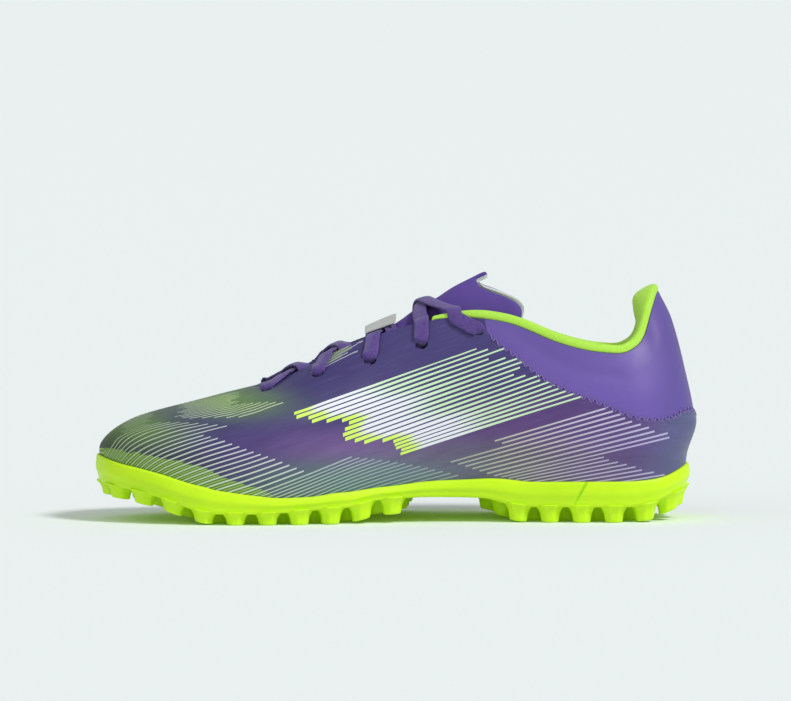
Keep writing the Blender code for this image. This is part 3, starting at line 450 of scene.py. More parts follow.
class Graph:
    def __init__(self, name, colour, roughness, **sockets):
        self.material = bpy.data.materials.new(name)
        self.material.use_nodes = True
        self.material.diffuse_color = (*colour, 1)
        self.tree = self.material.node_tree
        self.shader = self.tree.nodes["Principled BSDF"]
        self.shader.inputs["Base Color"].default_value = (*colour, 1)
        self.shader.inputs["Roughness"].default_value = roughness
        for socket, value in sockets.items():
            self.shader.inputs[socket.replace("_", " ")].default_value = value

    def put(self, socket, value):
        if isinstance(value, Wire):
            self.tree.links.new(value.socket, socket)
        elif isinstance(value, tuple) and len(value) == 3 and socket.type == "RGBA":
            socket.default_value = (*value, 1)
        elif value is not None:
            socket.default_value = value

    def maths(self, operation, first, second=None, third=None):
        node = self.tree.nodes.new("ShaderNodeMath")
        node.operation = operation
        for socket, value in zip(node.inputs, (first, second, third)):
            self.put(socket, value)
        return Wire(self, node.outputs[0])

    def attribute(self, name, output="Fac"):
        node = self.tree.nodes.new("ShaderNodeAttribute")
        node.attribute_name = name
        return Wire(self, node.outputs[output])

    def objectPlace(self):
        return Wire(self, self.tree.nodes.new("ShaderNodeTexCoord").outputs["Object"])

    def uvParts(self):
        node = self.tree.nodes.new("ShaderNodeSeparateXYZ")
        self.put(node.inputs[0], Wire(self, self.tree.nodes.new("ShaderNodeTexCoord").outputs["UV"]))
        return Wire(self, node.outputs[0]), Wire(self, node.outputs[1])

    def vector(self, x, y, z=0.0):
        node = self.tree.nodes.new("ShaderNodeCombineXYZ")
        for socket, value in zip(node.inputs, (x, y, z)):
            self.put(socket, value)
        return Wire(self, node.outputs[0])

    def noise(self, place, scale, detail=3.0, rough=0.5):
        node = self.tree.nodes.new("ShaderNodeTexNoise")
        self.put(node.inputs["Vector"], place)
        self.put(node.inputs["Scale"], scale)
        self.put(node.inputs["Detail"], detail)
        self.put(node.inputs["Roughness"], rough)
        return Wire(self, node.outputs["Fac"])

    def voronoi(self, place, scale):
        node = self.tree.nodes.new("ShaderNodeTexVoronoi")
        self.put(node.inputs["Vector"], place)
        self.put(node.inputs["Scale"], scale)
        return Wire(self, node.outputs["Distance"])

    def remap(self, value, fromLow, fromHigh, toLow=0.0, toHigh=1.0, smooth=True):
        node = self.tree.nodes.new("ShaderNodeMapRange")
        node.interpolation_type = "SMOOTHSTEP" if smooth else "LINEAR"
        for socket, number in zip(node.inputs, (value, fromLow, fromHigh, toLow, toHigh)):
            self.put(socket, number)
        return Wire(self, node.outputs[0])

    def blend(self, share, first, second, mode="MIX"):
        node = self.tree.nodes.new("ShaderNodeMix")
        node.data_type, node.blend_type = "RGBA", mode
        self.put(node.inputs[0], share)
        self.put(node.inputs[6], first)
        self.put(node.inputs[7], second)
        return Wire(self, node.outputs[2])

    def bump(self, height, distance, strength=1.0, before=None):
        node = self.tree.nodes.new("ShaderNodeBump")
        node.inputs["Strength"].default_value = strength
        node.inputs["Distance"].default_value = distance
        self.put(node.inputs["Height"], height)
        if before:
            self.put(node.inputs["Normal"], before)
        return Wire(self, node.outputs[0])

    def finish(self, colour=None, roughness=None, normal=None):
        for name, wire in (("Base Color", colour), ("Roughness", roughness), ("Normal", normal)):
            if wire is not None:
                self.put(self.shader.inputs[name], wire)
        return self.material


# Sole: a smooth wall with a lip, a flat tread, tapered lugs and one slanted groove on each side of the heel

soleLook = {
    "lipShare": 0.62,
    "lipStep": 0.0010,
    "rimRound": 0.0013,
    "edgeRound": 0.0018,
    "skirt": 0.0022,
    "lugRoot": 0.0112,
    "lugTip": 0.0084,
    "lugFillet": 0.0046,
    "lugPitch": 0.0150,
    "lugLinePitch": 0.96,
    "lugSpacing": 0.92,
    "lugInset": 0.0073,
    "waist": (0.515, 0.655),
    "grooveWays": (0.775, 1.225),
    "colour": linear(198, 240, 14),
    "shade": linear(170, 218, 8),
    "paintedGlow": 0.06,  # painted glow: emission that makes the neon rubber lighter than the light on it
}


def soleMaterial():
    # the emission set here is a painted glow: the rubber is no lamp
    graph = Graph("neonRubber", soleLook["colour"], 0.42, Coat_Weight=0.06, Coat_Roughness=0.35,
                  Specular_IOR_Level=0.35, Subsurface_Weight=0.20, Subsurface_Radius=(0.004, 0.006, 0.0003),
                  Subsurface_Scale=0.5, Emission_Color=(*soleLook["colour"], 1),
                  Emission_Strength=soleLook["paintedGlow"])
    place = graph.objectPlace()
    cloud = graph.remap(graph.noise(place, 38, 4), 0.35, 0.70)
    colour = graph.blend(cloud * 0.35, soleLook["colour"], soleLook["shade"])
    dust = graph.remap(graph.noise(place, 420, 5, 0.65), 0.60, 0.78)
    colour = graph.blend(dust * 0.12, colour, linear(220, 240, 110))
    rough = graph.remap(graph.noise(place, 260, 4), 0.3, 0.7, 0.36, 0.52)
    grain = graph.noise(place, 1400, 3, 0.6)
    return graph.finish(colour, rough, graph.bump(grain, 0.00006, 0.5))


def skirtDepth(x):
    # the forefoot's plate reaches a little further down between the lugs
    return soleLook["skirt"] * smoothStep((0.42 - x / last["length"] - 0.5) / 0.16)


def makeSole():
    ways = np.arange(last["ways"]) * 2 / last["ways"]
    edge, out = outlineAt(ways)
    tread, under, bed, rim = soleHeights(edge[:, 0])
    out = np.column_stack([out, np.zeros(len(out))])
    edge = np.column_stack([edge, np.zeros(len(edge))])
    wall = last["gap"]
    under = under - skirtDepth(edge[:, 0])

    def level(points, heights):
        return np.column_stack([points[:, 0], points[:, 1], heights])

    bedEdge = level(skinAt(ways, np.zeros(len(ways))) + out * wall, bed)
    inner = [skinAt(ways, shareAtHeight(ways, bed + (rim - bed) * t), wall) for t in (0.35, 0.7)]
    rimInner = level(skinAt(ways, shareAtHeight(ways, rim), wall), rim)
    reach = np.maximum(((edge - rimInner) * out).sum(axis=1), 0.0012)[:, None]
    rounding, low, step = soleLook["rimRound"], soleLook["edgeRound"], soleLook["lipStep"]
    outerFace = rimInner + out * reach
    rings = [bedEdge, *inner, level(rimInner, rim - 0.0003), rimInner + out * np.minimum(reach, 0.0004)]
    for turn in np.radians((90, 66, 45, 22, 0)):
        inward = np.minimum(rounding, reach[:, 0] * 0.8)[:, None] * (1 - math.cos(turn))
        rings.append(level(outerFace - out * inward, rim - rounding * (1 - math.sin(turn))))
    wallTop = rim - rounding
    lowEnd = under + low
    for t in np.linspace(0.12, 1.0, 8):
        # the lip swells softly and the wall draws in below it
        drawn = step * smoothStep((t - soleLook["lipShare"] * 0.7) / 0.45) - 0.0004 * math.sin(math.pi * t)
        rings.append(level(outerFace - out * drawn, wallTop + (lowEnd - wallTop) * t))
    for turn in np.radians((22, 45, 66, 90)):
        inward = step + low * (1 - math.cos(turn))
        rings.append(level(outerFace - out * inward, under + low * (1 - math.sin(turn))))
    grid = np.stack(rings, axis=1) + shift
    rows, columns = grid.shape[:2]
    faces = []
    for i in range(rows):
        for j in range(columns - 1):
            a, b = i * columns + j, (i + 1) % rows * columns + j
            faces.append((a, a + 1, b + 1, b))
    half = rows // 2
    for j in (0, columns - 1):
        ring = [i * columns + j for i in range(rows)]
        faces.append((ring[0], ring[1], ring[-1]))
        for i in range(1, half - 1):
            faces.append((ring[i], ring[i + 1], ring[-i - 1], ring[-i]))
        faces.append((ring[half - 1], ring[half], ring[half + 1]))
    sole = newPiece("soleUnit", grid.reshape(-1, 3), faces)
    for way in soleLook["grooveWays"]:
        cutGroove(sole, way)
    lugs = [oneLug(place, turn) for place, turn in lugPlaces()]
    choose(sole)
    for lug in lugs:
        lug.select_set(True)
    bpy.ops.object.join()
    sole.data.shade_smooth()
    choose(sole)
    bpy.ops.object.shade_smooth_by_angle(angle=math.radians(38))
    settle(sole, soleMaterial(), "neon_rubber", "outsole")
    return sole


def cutGroove(sole, way):
    edge, out = outlineAt(way)
    edge, out = edge[0], out[0]
    tread, under, bed, rim = [float(value[0]) for value in soleHeights(edge[:1])]
    bpy.ops.mesh.primitive_cube_add(size=1, location=(0, 0, 0))
    tool = bpy.context.object
    tool.scale = (0.0013, 0.0034, 1.5 * (rim - under))
    bpy.ops.object.transform_apply(scale=True)
    turn = Matrix.Rotation(math.atan2(out[1], out[0]) + math.pi / 2, 4, "Z")
    slant = Matrix.Rotation(math.radians(30 if way < 1 else -30), 4, "Y")
    move = Matrix.Translation(Vector((*edge, (rim + under) / 2)) + Vector(shift))
    tool.data.transform(move @ turn @ slant)
    cut = sole.modifiers.new("groove", "BOOLEAN")
    cut.object, cut.operation, cut.solver = tool, "DIFFERENCE", "EXACT"
    applyAll(sole)
    bpy.data.objects.remove(tool)


def lugCandidates():
    pitch = soleLook["lugPitch"]
    for line in range(4):
        inset = soleLook["lugInset"] + line * soleLook["lugLinePitch"] * pitch
        for first in (0.0, 2.0):
            side = np.linspace(first, 1.0, 241)
            edge, out = outlineAt(side)
            spot = edge - out * inset
            walked = np.concatenate([[0], np.cumsum(np.linalg.norm(np.diff(spot, axis=0), axis=1))])
            count = max(int(round(walked[-1] / pitch)), 1)
            for step in range(count + 1):
                edge, out = outlineAt(np.interp(step * walked[-1] / count, walked, side))
                yield edge[0] - out[0] * inset, out[0], inset
    for column in range(int(last["length"] / pitch * 4)):
        for row in range(-4, 5):
            place = np.array([column * pitch / 4 - last["length"] / 2, row * pitch / 4])
            yield place, np.array([0.0, 1.0]), soleLook["lugInset"]


def lugPlaces():
    places = []
    for place, out, inset in lugCandidates():
        nearest = np.linalg.norm(outlinePoints - place, axis=1).argmin()
        depth = (outlinePoints[nearest] - place) @ outlineOut[nearest]
        near = any(np.linalg.norm(place - other) < soleLook["lugSpacing"] * soleLook["lugPitch"] for other, _ in places)
        waist = soleLook["waist"][0] < place[0] / last["length"] + 0.5 < soleLook["waist"][1]
        if not (depth < 0.9 * inset or near or waist):
            places.append((place, out))
    return places


def lugModel():
    # modelled once: an eight-sided stub, flared at its root, with soft edges
    bpy.ops.mesh.primitive_cylinder_add(vertices=8, radius=1, depth=1, location=(0, 0, 0))
    lug = bpy.context.object
    lug.name = "lugModel"
    lug.data.transform(Matrix.Rotation(math.radians(22.5), 4, "Z"))
    choose(lug)
    bpy.ops.object.mode_set(mode="EDIT")
    bpy.ops.mesh.select_all(action="DESELECT")
    bpy.ops.object.mode_set(mode="OBJECT")
    for face in lug.data.polygons:
        face.select = abs(face.normal.z) < 0.5
    bpy.ops.object.mode_set(mode="EDIT")
    bpy.ops.mesh.subdivide(number_cuts=3, smoothness=0)
    bpy.ops.object.mode_set(mode="OBJECT")
    points = pointsOf(lug)
    height = points[:, 2] + 0.5  # 0 at the tip, 1 at the root
    flare = soleLook["lugTip"] + (soleLook["lugRoot"] - soleLook["lugTip"]) * height
    flare += soleLook["lugFillet"] * np.maximum(height - 0.45, 0) ** 2 / 0.3025
    points[:, :2] *= flare[:, None] / 2 * 1.06
    lug.data.vertices.foreach_set("co", points.ravel())
    soften = lug.modifiers.new("soften", "BEVEL")
    soften.width, soften.segments, soften.limit_method = 0.0013, 3, "ANGLE"
    soften.angle_limit = math.radians(30)
    return lug


def oneLug(place, out):
    if "lugTop" not in soleLook:
        model = lugModel()
        points = pointsOf(model)
        points[:, 2] *= 0.009
        model.data.vertices.foreach_set("co", points.ravel())
        applyAll(model)
        soleLook["lugTop"] = model.data.copy()
        bpy.data.objects.remove(model)
    lug = bpy.data.objects.new("lug", soleLook["lugTop"].copy())
    bpy.context.scene.collection.objects.link(lug)
    points = pointsOf(lug)
    turned = np.column_stack([out * 1.0, [-out[1], out[0]]])
    spots = points[:, :2] @ turned.T + place
    tread, under, bed, rim = soleHeights(spots[:, 0])
    share = points[:, 2] / 0.009 + 0.5
    height = tread + (under - skirtDepth(spots[:, 0]) + 0.0012 - tread) * share
    lug.data.vertices.foreach_set("co", (np.column_stack([spots, height]) + shift).ravel())
    return lug


sole = makeSole()
print("sole:", len(sole.data.polygons), "faces")


# Upper: one skin with a hollow inside, a raised panel at the heel, soft creases and punched eyelets

upperLook = {
    "outerRows": 46,
    "innerRows": 22,
    "eyeletSlot": (0.0062, 0.0048),
    "topEyelet": (0.0046, 0.0034),
    "eyeletInset": 0.0145,
    "eyelets": ((0.256, 1.00), (0.360, 1.00), (0.450, 1.00), (0.535, 0.80), (0.624, 0.45)),
    # each crease: its line in way and share, its depth (a ridge is negative) and its width in metres
    "creases": (
        (((0.150, 0.90), (0.200, 0.72), (0.235, 0.55)), 0.0005, 0.0050),
        (((0.215, 0.93), (0.262, 0.76), (0.300, 0.60)), -0.0004, 0.0060),
        (((0.300, 0.80), (0.345, 0.66), (0.370, 0.52)), 0.0004, 0.0060),
        (((1.850, 0.90), (1.800, 0.72), (1.765, 0.55)), 0.0005, 0.0050),
        (((1.785, 0.93), (1.738, 0.76), (1.700, 0.60)), -0.0004, 0.0060),
        (((1.700, 0.80), (1.655, 0.66), (1.630, 0.52)), 0.0004, 0.0060),
        (((0.470, 0.62), (0.540, 0.50), (0.600, 0.42)), 0.0004, 0.0090),
        (((1.530, 0.62), (1.460, 0.50), (1.400, 0.42)), 0.0004, 0.0090),
        (((0.690, 0.92), (0.760, 0.86), (0.840, 0.84)), 0.0004, 0.0060),
        (((1.310, 0.92), (1.240, 0.86), (1.160, 0.84)), 0.0004, 0.0060),
    ),
}


def creaseDepth(ways, shares):
    # soft troughs and ridges, measured along the skin from each crease's line
    depth = np.zeros(np.broadcast(ways, shares).shape)
    around = 0.36  # metres of skin for one unit of way, near enough for the falloff
    for line, deep, width in upperLook["creases"]:
        spots = np.array(line)
        nearest = np.full(depth.shape, 1e9)
        for one, other in zip(spots[:-1], spots[1:]):
            for t in np.linspace(0, 1, 9):
                spot = one + (other - one) * t
                gap = ((ways - spot[0]) * around) ** 2 + ((shares - spot[1]) * 0.11) ** 2
                nearest = np.minimum(nearest, gap)
        depth += deep * np.exp(-nearest / width**2)
    return depth


def upperRows(ways):
    # shares of the outer face's rows, closer together at the seam, and the step of each
    seam, step = seamAt(ways)
    half = upperLook["outerRows"]
    near = np.array([-0.012, -0.008, -0.005, -0.003, -0.0015, 0.0, 0.0015, 0.003, 0.005, 0.008, 0.012])
    below = np.linspace(0, 1, half)[None, :] * (seam - 0.016)[:, None]
    above = (seam + 0.016)[:, None] + np.linspace(0, 1, half)[None, :] * (1 - seam - 0.016)[:, None]
    middle = seam[:, None] + near[None, :]
    shares = np.concatenate([below, middle, above], axis=1)
    raised = step[:, None] * (1 - smoothStep((shares - seam[:, None] + 0.003) / 0.005))
    return shares, raised


def makeUpper():
    ways = np.arange(last["ways"]) * 2 / last["ways"]
    shares, raised = upperRows(ways)
    wall = last["skinWall"]
    grid = ways[:, None] + np.zeros_like(shares)
    out = raised * last["panelStep"] - creaseDepth(grid, shares)
    outer = skinAt(grid, shares, out)
    top, lift = skinAt(ways, 1.0), rimLift(ways)
    outward = normalAt(ways, 1.0)
    edge = [top + lift * 0.00025 - outward * wall * 0.25, top + lift * 0.00025 - outward * wall * 0.75]
    inside = np.linspace(1, 0, upperLook["innerRows"])[None, :] + np.zeros((len(ways), 1))
    inner = skinAt(ways[:, None] + np.zeros_like(inside), inside, -wall)
    rings = np.concatenate([outer, np.stack(edge, axis=1), inner], axis=1)
    upper = shapeRing("upperSkin", rings)
    flat = np.zeros((len(ways), 2))
    wayOf = (ways[:, None] + np.zeros((1, rings.shape[1]))).ravel()
    shareOf = np.concatenate([shares, flat + 1, inside], axis=1).ravel()
    sideOf = np.concatenate([np.zeros_like(shares), flat + 0.5, np.ones_like(inside)], axis=1).ravel()
    tree = KDTree(len(wayOf))
    for i, point in enumerate(rings.reshape(-1, 3) + shift):
        tree.insert(point, i)
    tree.balance()
    cutEyelets(upper)
    nearest = np.array([tree.find(point)[1] for point in pointsOf(upper)])
    paintUpper(upper, wayOf[nearest], shareOf[nearest], sideOf[nearest])
    return upper


def eyeletPlaces():
    rows = []
    for side in (0, 2):
        ways = np.array([abs(side - way) for way, _ in upperLook["eyelets"]])
        shares = belowTop(ways, np.array([inset for _, inset in upperLook["eyelets"]]) * upperLook["eyeletInset"])
        rows.append(list(zip(ways, shares)))
    return rows


def cutEyelets(upper):
    tools = []
    for row in eyeletPlaces():
        for way, share in row:
            middle, out = Vector(skinAt(way, share) + shift), Vector(normalAt(way, share))
            bpy.ops.mesh.primitive_cylinder_add(vertices=24, radius=0.5, depth=0.008)
            tool = bpy.context.object
            ahead = Vector(np.cross(rimLift(way), normalAt(way, share))).normalized()
            turn = Matrix((ahead, out.cross(ahead), out)).transposed().to_4x4()
            size = upperLook["topEyelet"] if share == row[-1][1] else upperLook["eyeletSlot"]
            slot = Matrix.Diagonal((*size, 1, 1))
            tool.data.transform(Matrix.Translation(middle) @ turn @ slot)
            tools.append(tool)
    choose(tools[0])
    for tool in tools[1:]:
        tool.select_set(True)
    bpy.ops.object.join()
    cut = upper.modifiers.new("eyelets", "BOOLEAN")
    cut.object, cut.operation, cut.solver = tools[0], "DIFFERENCE", "EXACT"
    applyAll(upper)
    bpy.data.objects.remove(tools[0])


# The print is laid out in the plane of the shoe's side, in mm from the toe tip and above the floor, and mirrored
# on the other side. Lines are numbered down the shoe: a line's row gives its height at each place along
printPlan = {
    "toFloor": math.radians(3.5),
    "topPitch": 0.40,  # lines in each mm where the skin lies flat
    "along": (4, 8, 12, 17, 24, 32, 40, 52, 75, 100, 125, 150, 200, 240),
    "frontLines": {
        -8: (42, 47, 51, 53.5, 56.5, 59, 61, 63.8, 69, 78.2, 87, 96, 114, 129),
        0: (12, 22, 29.9, 35.5, 39.6, 42.7, 45.3, 48.2, 53.5, 62.3, 71.1, 80, 97.6, 111.7),
        5: (-12, 0, 8, 17.5, 26.5, 32, 35.4, 39.6, 46.5, 55.3, 64.1, 73, 90.6, 104.7),
        13: (-40, -25, -15, -5, 3.5, 10.5, 15.2, 20.3, 27.8, 36.6, 45.4, 54.2, 71.8, 86),
        18: (-60, -42, -32, -22, -13, -5, 0.5, 6, 14, 23.4, 33.4, 42.4, 60, 74),
        32: (-84, -66, -56, -46, -37, -29, -23.5, -18, -9.5, 0, 10, 17.5, 30, 38),
    },
    "rearAlong": (60, 150, 195, 245, 290),
    "rearLines": {
        -10: (22, 49, 62.5, 77.5, 91),
        0: (1.5, 28, 41.3, 56.1, 69),
        8: (-8.8, 13.3, 24.4, 36.7, 47.8),
        17: (-9.4, 5, 12.3, 19.6, 26.7),
    },
    "oliveEdge": ((0, 37.5), (11, 36.2), (30.5, 32.7), (49.4, 28.6), (65.9, 22), (80, 17), (300, -60)),
    # soft patches of the ground colour: place along, height, spread along, spread up, colour
    "ground": (
        (5, 38, 9, 12, (66, 86, 60)), (30, 34, 16, 9, (62, 72, 80)), (24, 46, 13, 5, (122, 166, 46)),
        (45, 52, 12, 5, (62, 55, 115)), (66, 59, 17, 5, (138, 190, 48)), (75, 42, 22, 12, (72, 62, 125)),
        (112, 66, 26, 15, (68, 60, 120)), (118, 37, 26, 6, (142, 106, 172)), (112, 24, 20, 6, (95, 132, 118)),
        (150, 26, 16, 6, (108, 132, 134)), (160, 35, 14, 5, (124, 108, 146)), (178, 28, 14, 7, (110, 114, 140)),
        (200, 48, 24, 9, (110, 76, 142)), (202, 30, 18, 7, (120, 118, 124)), (235, 50, 20, 9, (98, 72, 138)),
        (235, 32, 18, 8, (118, 95, 142)), (262, 38, 12, 9, (105, 85, 148)), (277, 34, 9, 10, (104, 114, 154)),
        (190, 75, 22, 10, (76, 68, 130)), (165, 90, 22, 10, (80, 71, 134)), (150, 60, 26, 12, (78, 66, 130)),
        (284, 46, 7, 9, (100, 108, 150)), (90, 78, 30, 10, (74, 64, 128)),
    ),
    # colour of the fine lines, as above
    "lines": (
        (10, 40, 14, 16, (150, 172, 132)), (34, 44, 18, 10, (172, 188, 178)), (40, 28, 22, 7, (186, 206, 150)),
        (62, 36, 20, 12, (198, 198, 212)), (82, 24, 14, 8, (196, 206, 176)), (72, 58, 22, 8, (186, 212, 138)),
        (100, 40, 18, 12, (204, 192, 222)), (118, 28, 20, 8, (160, 186, 180)), (150, 24, 18, 8, (136, 160, 166)),
        (112, 76, 12, 8, (170, 172, 190)), (178, 34, 16, 9, (164, 172, 150)), (205, 40, 18, 9, (192, 190, 168)),
        (230, 56, 20, 10, (200, 196, 214)), (240, 34, 20, 9, (176, 170, 196)), (262, 40, 14, 9, (176, 170, 206)),
    ),
    "deepen": 0.75,
    "paler": 1.12,
    "panel": (108, 86, 166),
    "panelTop": (96, 78, 148),
    "panelHeel": (86, 73, 140),
    "olive": (100, 146, 34),
    "inside": (150, 176, 88),
}


def printPlaces(points):
    plain = points - shift
    along = points[:, 0] * 1000 + 144.45
    tilt = printPlan["toFloor"]
    height = plain[:, 2] * 1000 * math.cos(tilt) - np.abs(plain[:, 1]) * 1000 * math.sin(tilt) + 2.88
    return along, height


def linePhase(lines, places, along, height):
    numbers = np.array(sorted(lines), float)
    table = levelCurve(places, np.array([lines[int(n)] for n in numbers]).T, np.clip(along, places[0], places[-1]))
    phase = np.zeros(len(along))
    for i, row in enumerate(table):
        cell = np.clip(np.searchsorted(-row, -height[i]) - 1, 0, len(numbers) - 2)
        share = (height[i] - row[cell]) / (row[cell + 1] - row[cell])
        phase[i] = numbers[cell] + share * (numbers[cell + 1] - numbers[cell])
    return phase


def patchColours(patches, along, height):
    total = np.full(len(along), 1e-6)
    colours = np.zeros((len(along), 3))
    for x, z, wide, tall, colour in patches:
        weight = np.exp(-(((along - x) / wide) ** 2 + ((height - z) / tall) ** 2) / 2) + 1e-7
        colours += weight[:, None] * np.array(linear(*colour))
        total += weight
    return colours / total[:, None]


def frontPhaseTable():
    # the lines' numbers all over the skin. Where the skin lies flat on top, they are kept from spreading
    along, height = printPlaces(skinPoints.reshape(-1, 3) + shift)
    phase = linePhase(printPlan["frontLines"], printPlan["along"], along, height).reshape(skinPoints.shape[:2])
    step = np.linalg.norm(np.diff(skinPoints, axis=1), axis=2) * 1000
    change = np.diff(phase, axis=1)
    topward = smoothStep((skinNormals[:, 1:, 2] - 0.55) / 0.25)
    least = -printPlan["topPitch"] * step
    change = np.where(change > least * topward, change * (1 - topward) + least * topward, change)
    return np.concatenate([phase[:, :1], phase[:, :1] + np.cumsum(change, axis=1)], axis=1)[..., None]


def paintUpper(upper, ways, shares, inside):
    along, height = printPlaces(pointsOf(upper))
    setFloats(upper, "along", along)
    setFloats(upper, "frontPhase", mixTable(frontPhaseTable(), ways, shares)[..., 0])
    setFloats(upper, "rearPhase", linePhase(printPlan["rearLines"], printPlan["rearAlong"], along, height))
    edge = np.array(printPlan["oliveEdge"])
    setFloats(upper, "oliveDepth", np.interp(along, edge[:, 0], edge[:, 1]) - height)
    seam, step = seamAt(ways)
    behind = smoothStep((np.where(ways <= 1, ways, 2 - ways) - 0.628) / 0.012)
    setFloats(upper, "panelSide", (shares - seam) * ribLength(ways) * 1000 * behind - 3 * (1 - behind))
    setFloats(upper, "inside", inside)
    ground = patchColours(printPlan["ground"], along, height) * printPlan["deepen"]
    panel = np.array(linear(*printPlan["panel"])) + np.zeros((len(along), 3))
    topward = smoothStep((height - 62) / 30)[:, None] * 0.6
    panel = panel * (1 - topward) + np.array(linear(*printPlan["panelTop"])) * topward
    heelward = smoothStep((along - 258) / 26)[:, None] * 0.7
    panel = panel * (1 - heelward) + np.array(linear(*printPlan["panelHeel"])) * heelward
    setColours(upper, "groundColour", ground)
    setColours(upper, "panelColour", panel)
    setColours(upper, "lineColour", patchColours(printPlan["lines"], along, height) * printPlan["paler"])


def printedSkin():
    graph = Graph("printedSkin", linear(80, 70, 130), 0.46, Specular_IOR_Level=0.32, Coat_Weight=0.05,
                  Coat_Roughness=0.35)
    along = graph.attribute("along")
    front, rear = graph.attribute("frontPhase"), graph.attribute("rearPhase")
    ground = graph.attribute("groundColour", "Color")
    lineColour = graph.attribute("lineColour", "Color")
    place = graph.objectPlace()

    # brushed streaks that run with the lines
    brush = graph.noise(graph.vector(along * 0.035, front * 0.55), 1.0, 5, 0.62)
    colour = graph.blend(graph.remap(brush, 0.36, 0.72) * 0.34, ground, graph.blend(1.0, ground, (0.62, 0.50, 0.66), "MULTIPLY"))
    fleck = graph.noise(graph.vector(along * 0.05, front * 2.6), 1.0, 3, 0.7)
    colour = graph.blend(graph.remap(fleck, 0.55, 0.80) * 0.22, colour, linear(150, 128, 190))

    number = (front + 0.5).do("FLOOR")
    offset = (front - number).do("ABSOLUTE")
    chance = (number * 12.9898).do("SINE").do("MULTIPLY", 43758.5453).do("FRACT")
    rearNumber = (rear + 0.5).do("FLOOR")
    rearOffset = (rear - rearNumber).do("ABSOLUTE")
    rearChance = (rearNumber * 78.233).do("SINE").do("MULTIPLY", 12543.123).do("FRACT")

    def window(count, low, high, start, end):
        inside = (count > low - 0.5) * (count < high + 0.5)
        return inside * (along > start) * (along < end)

    # olive ground by the sole at the toe, where the lines stand twice as close
    olive = graph.remap(graph.attribute("oliveDepth") + (chance - 0.5) * 1.2, -0.2, 0.2)
    toeGround = graph.remap(along, 76, 92, 1.0, 0.0)
    colour = graph.blend(olive * toeGround * 0.72, colour, linear(*printPlan["olive"]))
    half = graph.maths("PINGPONG", front * 2 + 0.5, 0.5)
    double = olive * toeGround * (half > 0.37)
    colour = graph.blend(double * 0.65, colour, linear(198, 222, 110))

    sets = (
        (window(number, 3, 17, -10.0, (number - 3) * 3.42 + 52.3), 0.090, 0.95),
        (window(number, -5, 2, -10.0, (number + 4.5) * 4.56 + 33.8), 0.090, 0.80),
        (window(number, -26, -6, chance * 3 + 12, chance * 4 + 24), 0.100, 0.55),
        (window(number, -26, 0, ((number - 0.6) * 5.9 + 72.5).do("MAXIMUM", chance * 6 + 38),
                ((number - 0.6) * 3.6 + 92.4).do("MAXIMUM", chance * 6 + 64)), 0.105, 0.85),
        (window(number, -12, -6, chance * 5 + 103.0, chance * 9 + 121.0), 0.130, 0.75),
        (window(number, 18, 32, 60.0, (number - 18) * 3.64 + 123), 0.125, 0.70),
    )
    lines = None
    for mask, wide, strong in sets:
        part = mask * graph.remap(offset, wide, wide + 0.09, strong, 0.0)
        lines = part if lines is None else lines.do("MAXIMUM", part)
    rearEnd = (rearNumber < 9.5) * (rearNumber * 3.7 + 245.5) + (rearNumber > 9.5) * (rearNumber * 3.9 + 207.0)
    rearStart = (rearNumber - 1.3) * 3.47 + 168 + (rearNumber < 1.5) * 28
    rearMask = window(rearNumber, 0, 17, rearStart, rearEnd - rearChance * 4)
    lines = lines.do("MAXIMUM", rearMask * graph.remap(rearOffset, 0.14, 0.22, 0.85, 0.0))
    patch = window(number, -10, -7, 108.0, chance * 6 + 118)
    colour = graph.blend(patch * 0.6, colour, linear(126, 150, 70))
    colour = graph.blend(lines, colour, lineColour)

    # one field of fine streaks on the side, with uneven ends
    bend = graph.maths("PINGPONG", number * 1.0 + 1.5, 4.0) * 2.6
    fieldStart = (number - 5) * 3.1 + 90 + bend + chance * 5
    fieldEnd = (number - 5) * 3.0 + 176 + chance * 20
    fieldIn = window(number, 5, 22, fieldStart, fieldEnd)
    inWay = graph.remap(along - fieldStart, 0.0, 78.0, 0.0, 1.0, False)
    thick = graph.remap(inWay, 0.25, 1.0, 0.335, 0.15)
    field = fieldIn * graph.remap(offset - thick, 0.0, 0.05, 0.94, 0.0)
    fieldColour = graph.blend(graph.remap(inWay, 0.30, 0.62), linear(232, 235, 240), linear(204, 238, 190))
    fieldColour = graph.blend(graph.remap(along - fieldStart, 5.0, 12.0, 1.0, 0.0), fieldColour, linear(212, 246, 92))
    colour = graph.blend(field, colour, fieldColour)

    # heel panel of plain cloth-backed skin, and the neon lining inside
    panel = graph.attribute("panelSide") > 0.0
    soft = graph.remap(graph.noise(place, 60, 4), 0.3, 0.7) * 0.16
    panelColour = graph.blend(soft, graph.attribute("panelColour", "Color"), linear(96, 76, 158))
    colour = graph.blend(panel, colour, panelColour)
    under = graph.attribute("inside") > 0.75
    colour = graph.blend(under, colour, linear(*printPlan["inside"]))

    # fine grain of the skin, raised lines and a few dull scuffs
    grain = graph.noise(place, 1500, 3, 0.6)
    weave = graph.voronoi(place, 1100)
    raised = lines.do("MAXIMUM", field)
    normal = graph.bump(raised, 0.00010, 0.6)
    normal = graph.bump(grain + weave * 0.5, 0.00007, 0.55, normal)
    scuff = graph.remap(graph.noise(place, 140, 5, 0.7), 0.62, 0.80)
    rough = graph.remap(graph.noise(place, 90, 3), 0.3, 0.7, 0.42, 0.56) + scuff * 0.12 - raised * 0.06
    return graph.finish(colour, rough, normal)


upper = makeUpper()
choose(upper)
bpy.ops.object.shade_smooth_by_angle(angle=math.radians(50))
settle(upper, printedSkin(), "printed_skin", "upper")
print("upper:", len(upper.data.polygons), "faces")


# Collar: the padded neon lining rolls over the rim and runs down inside

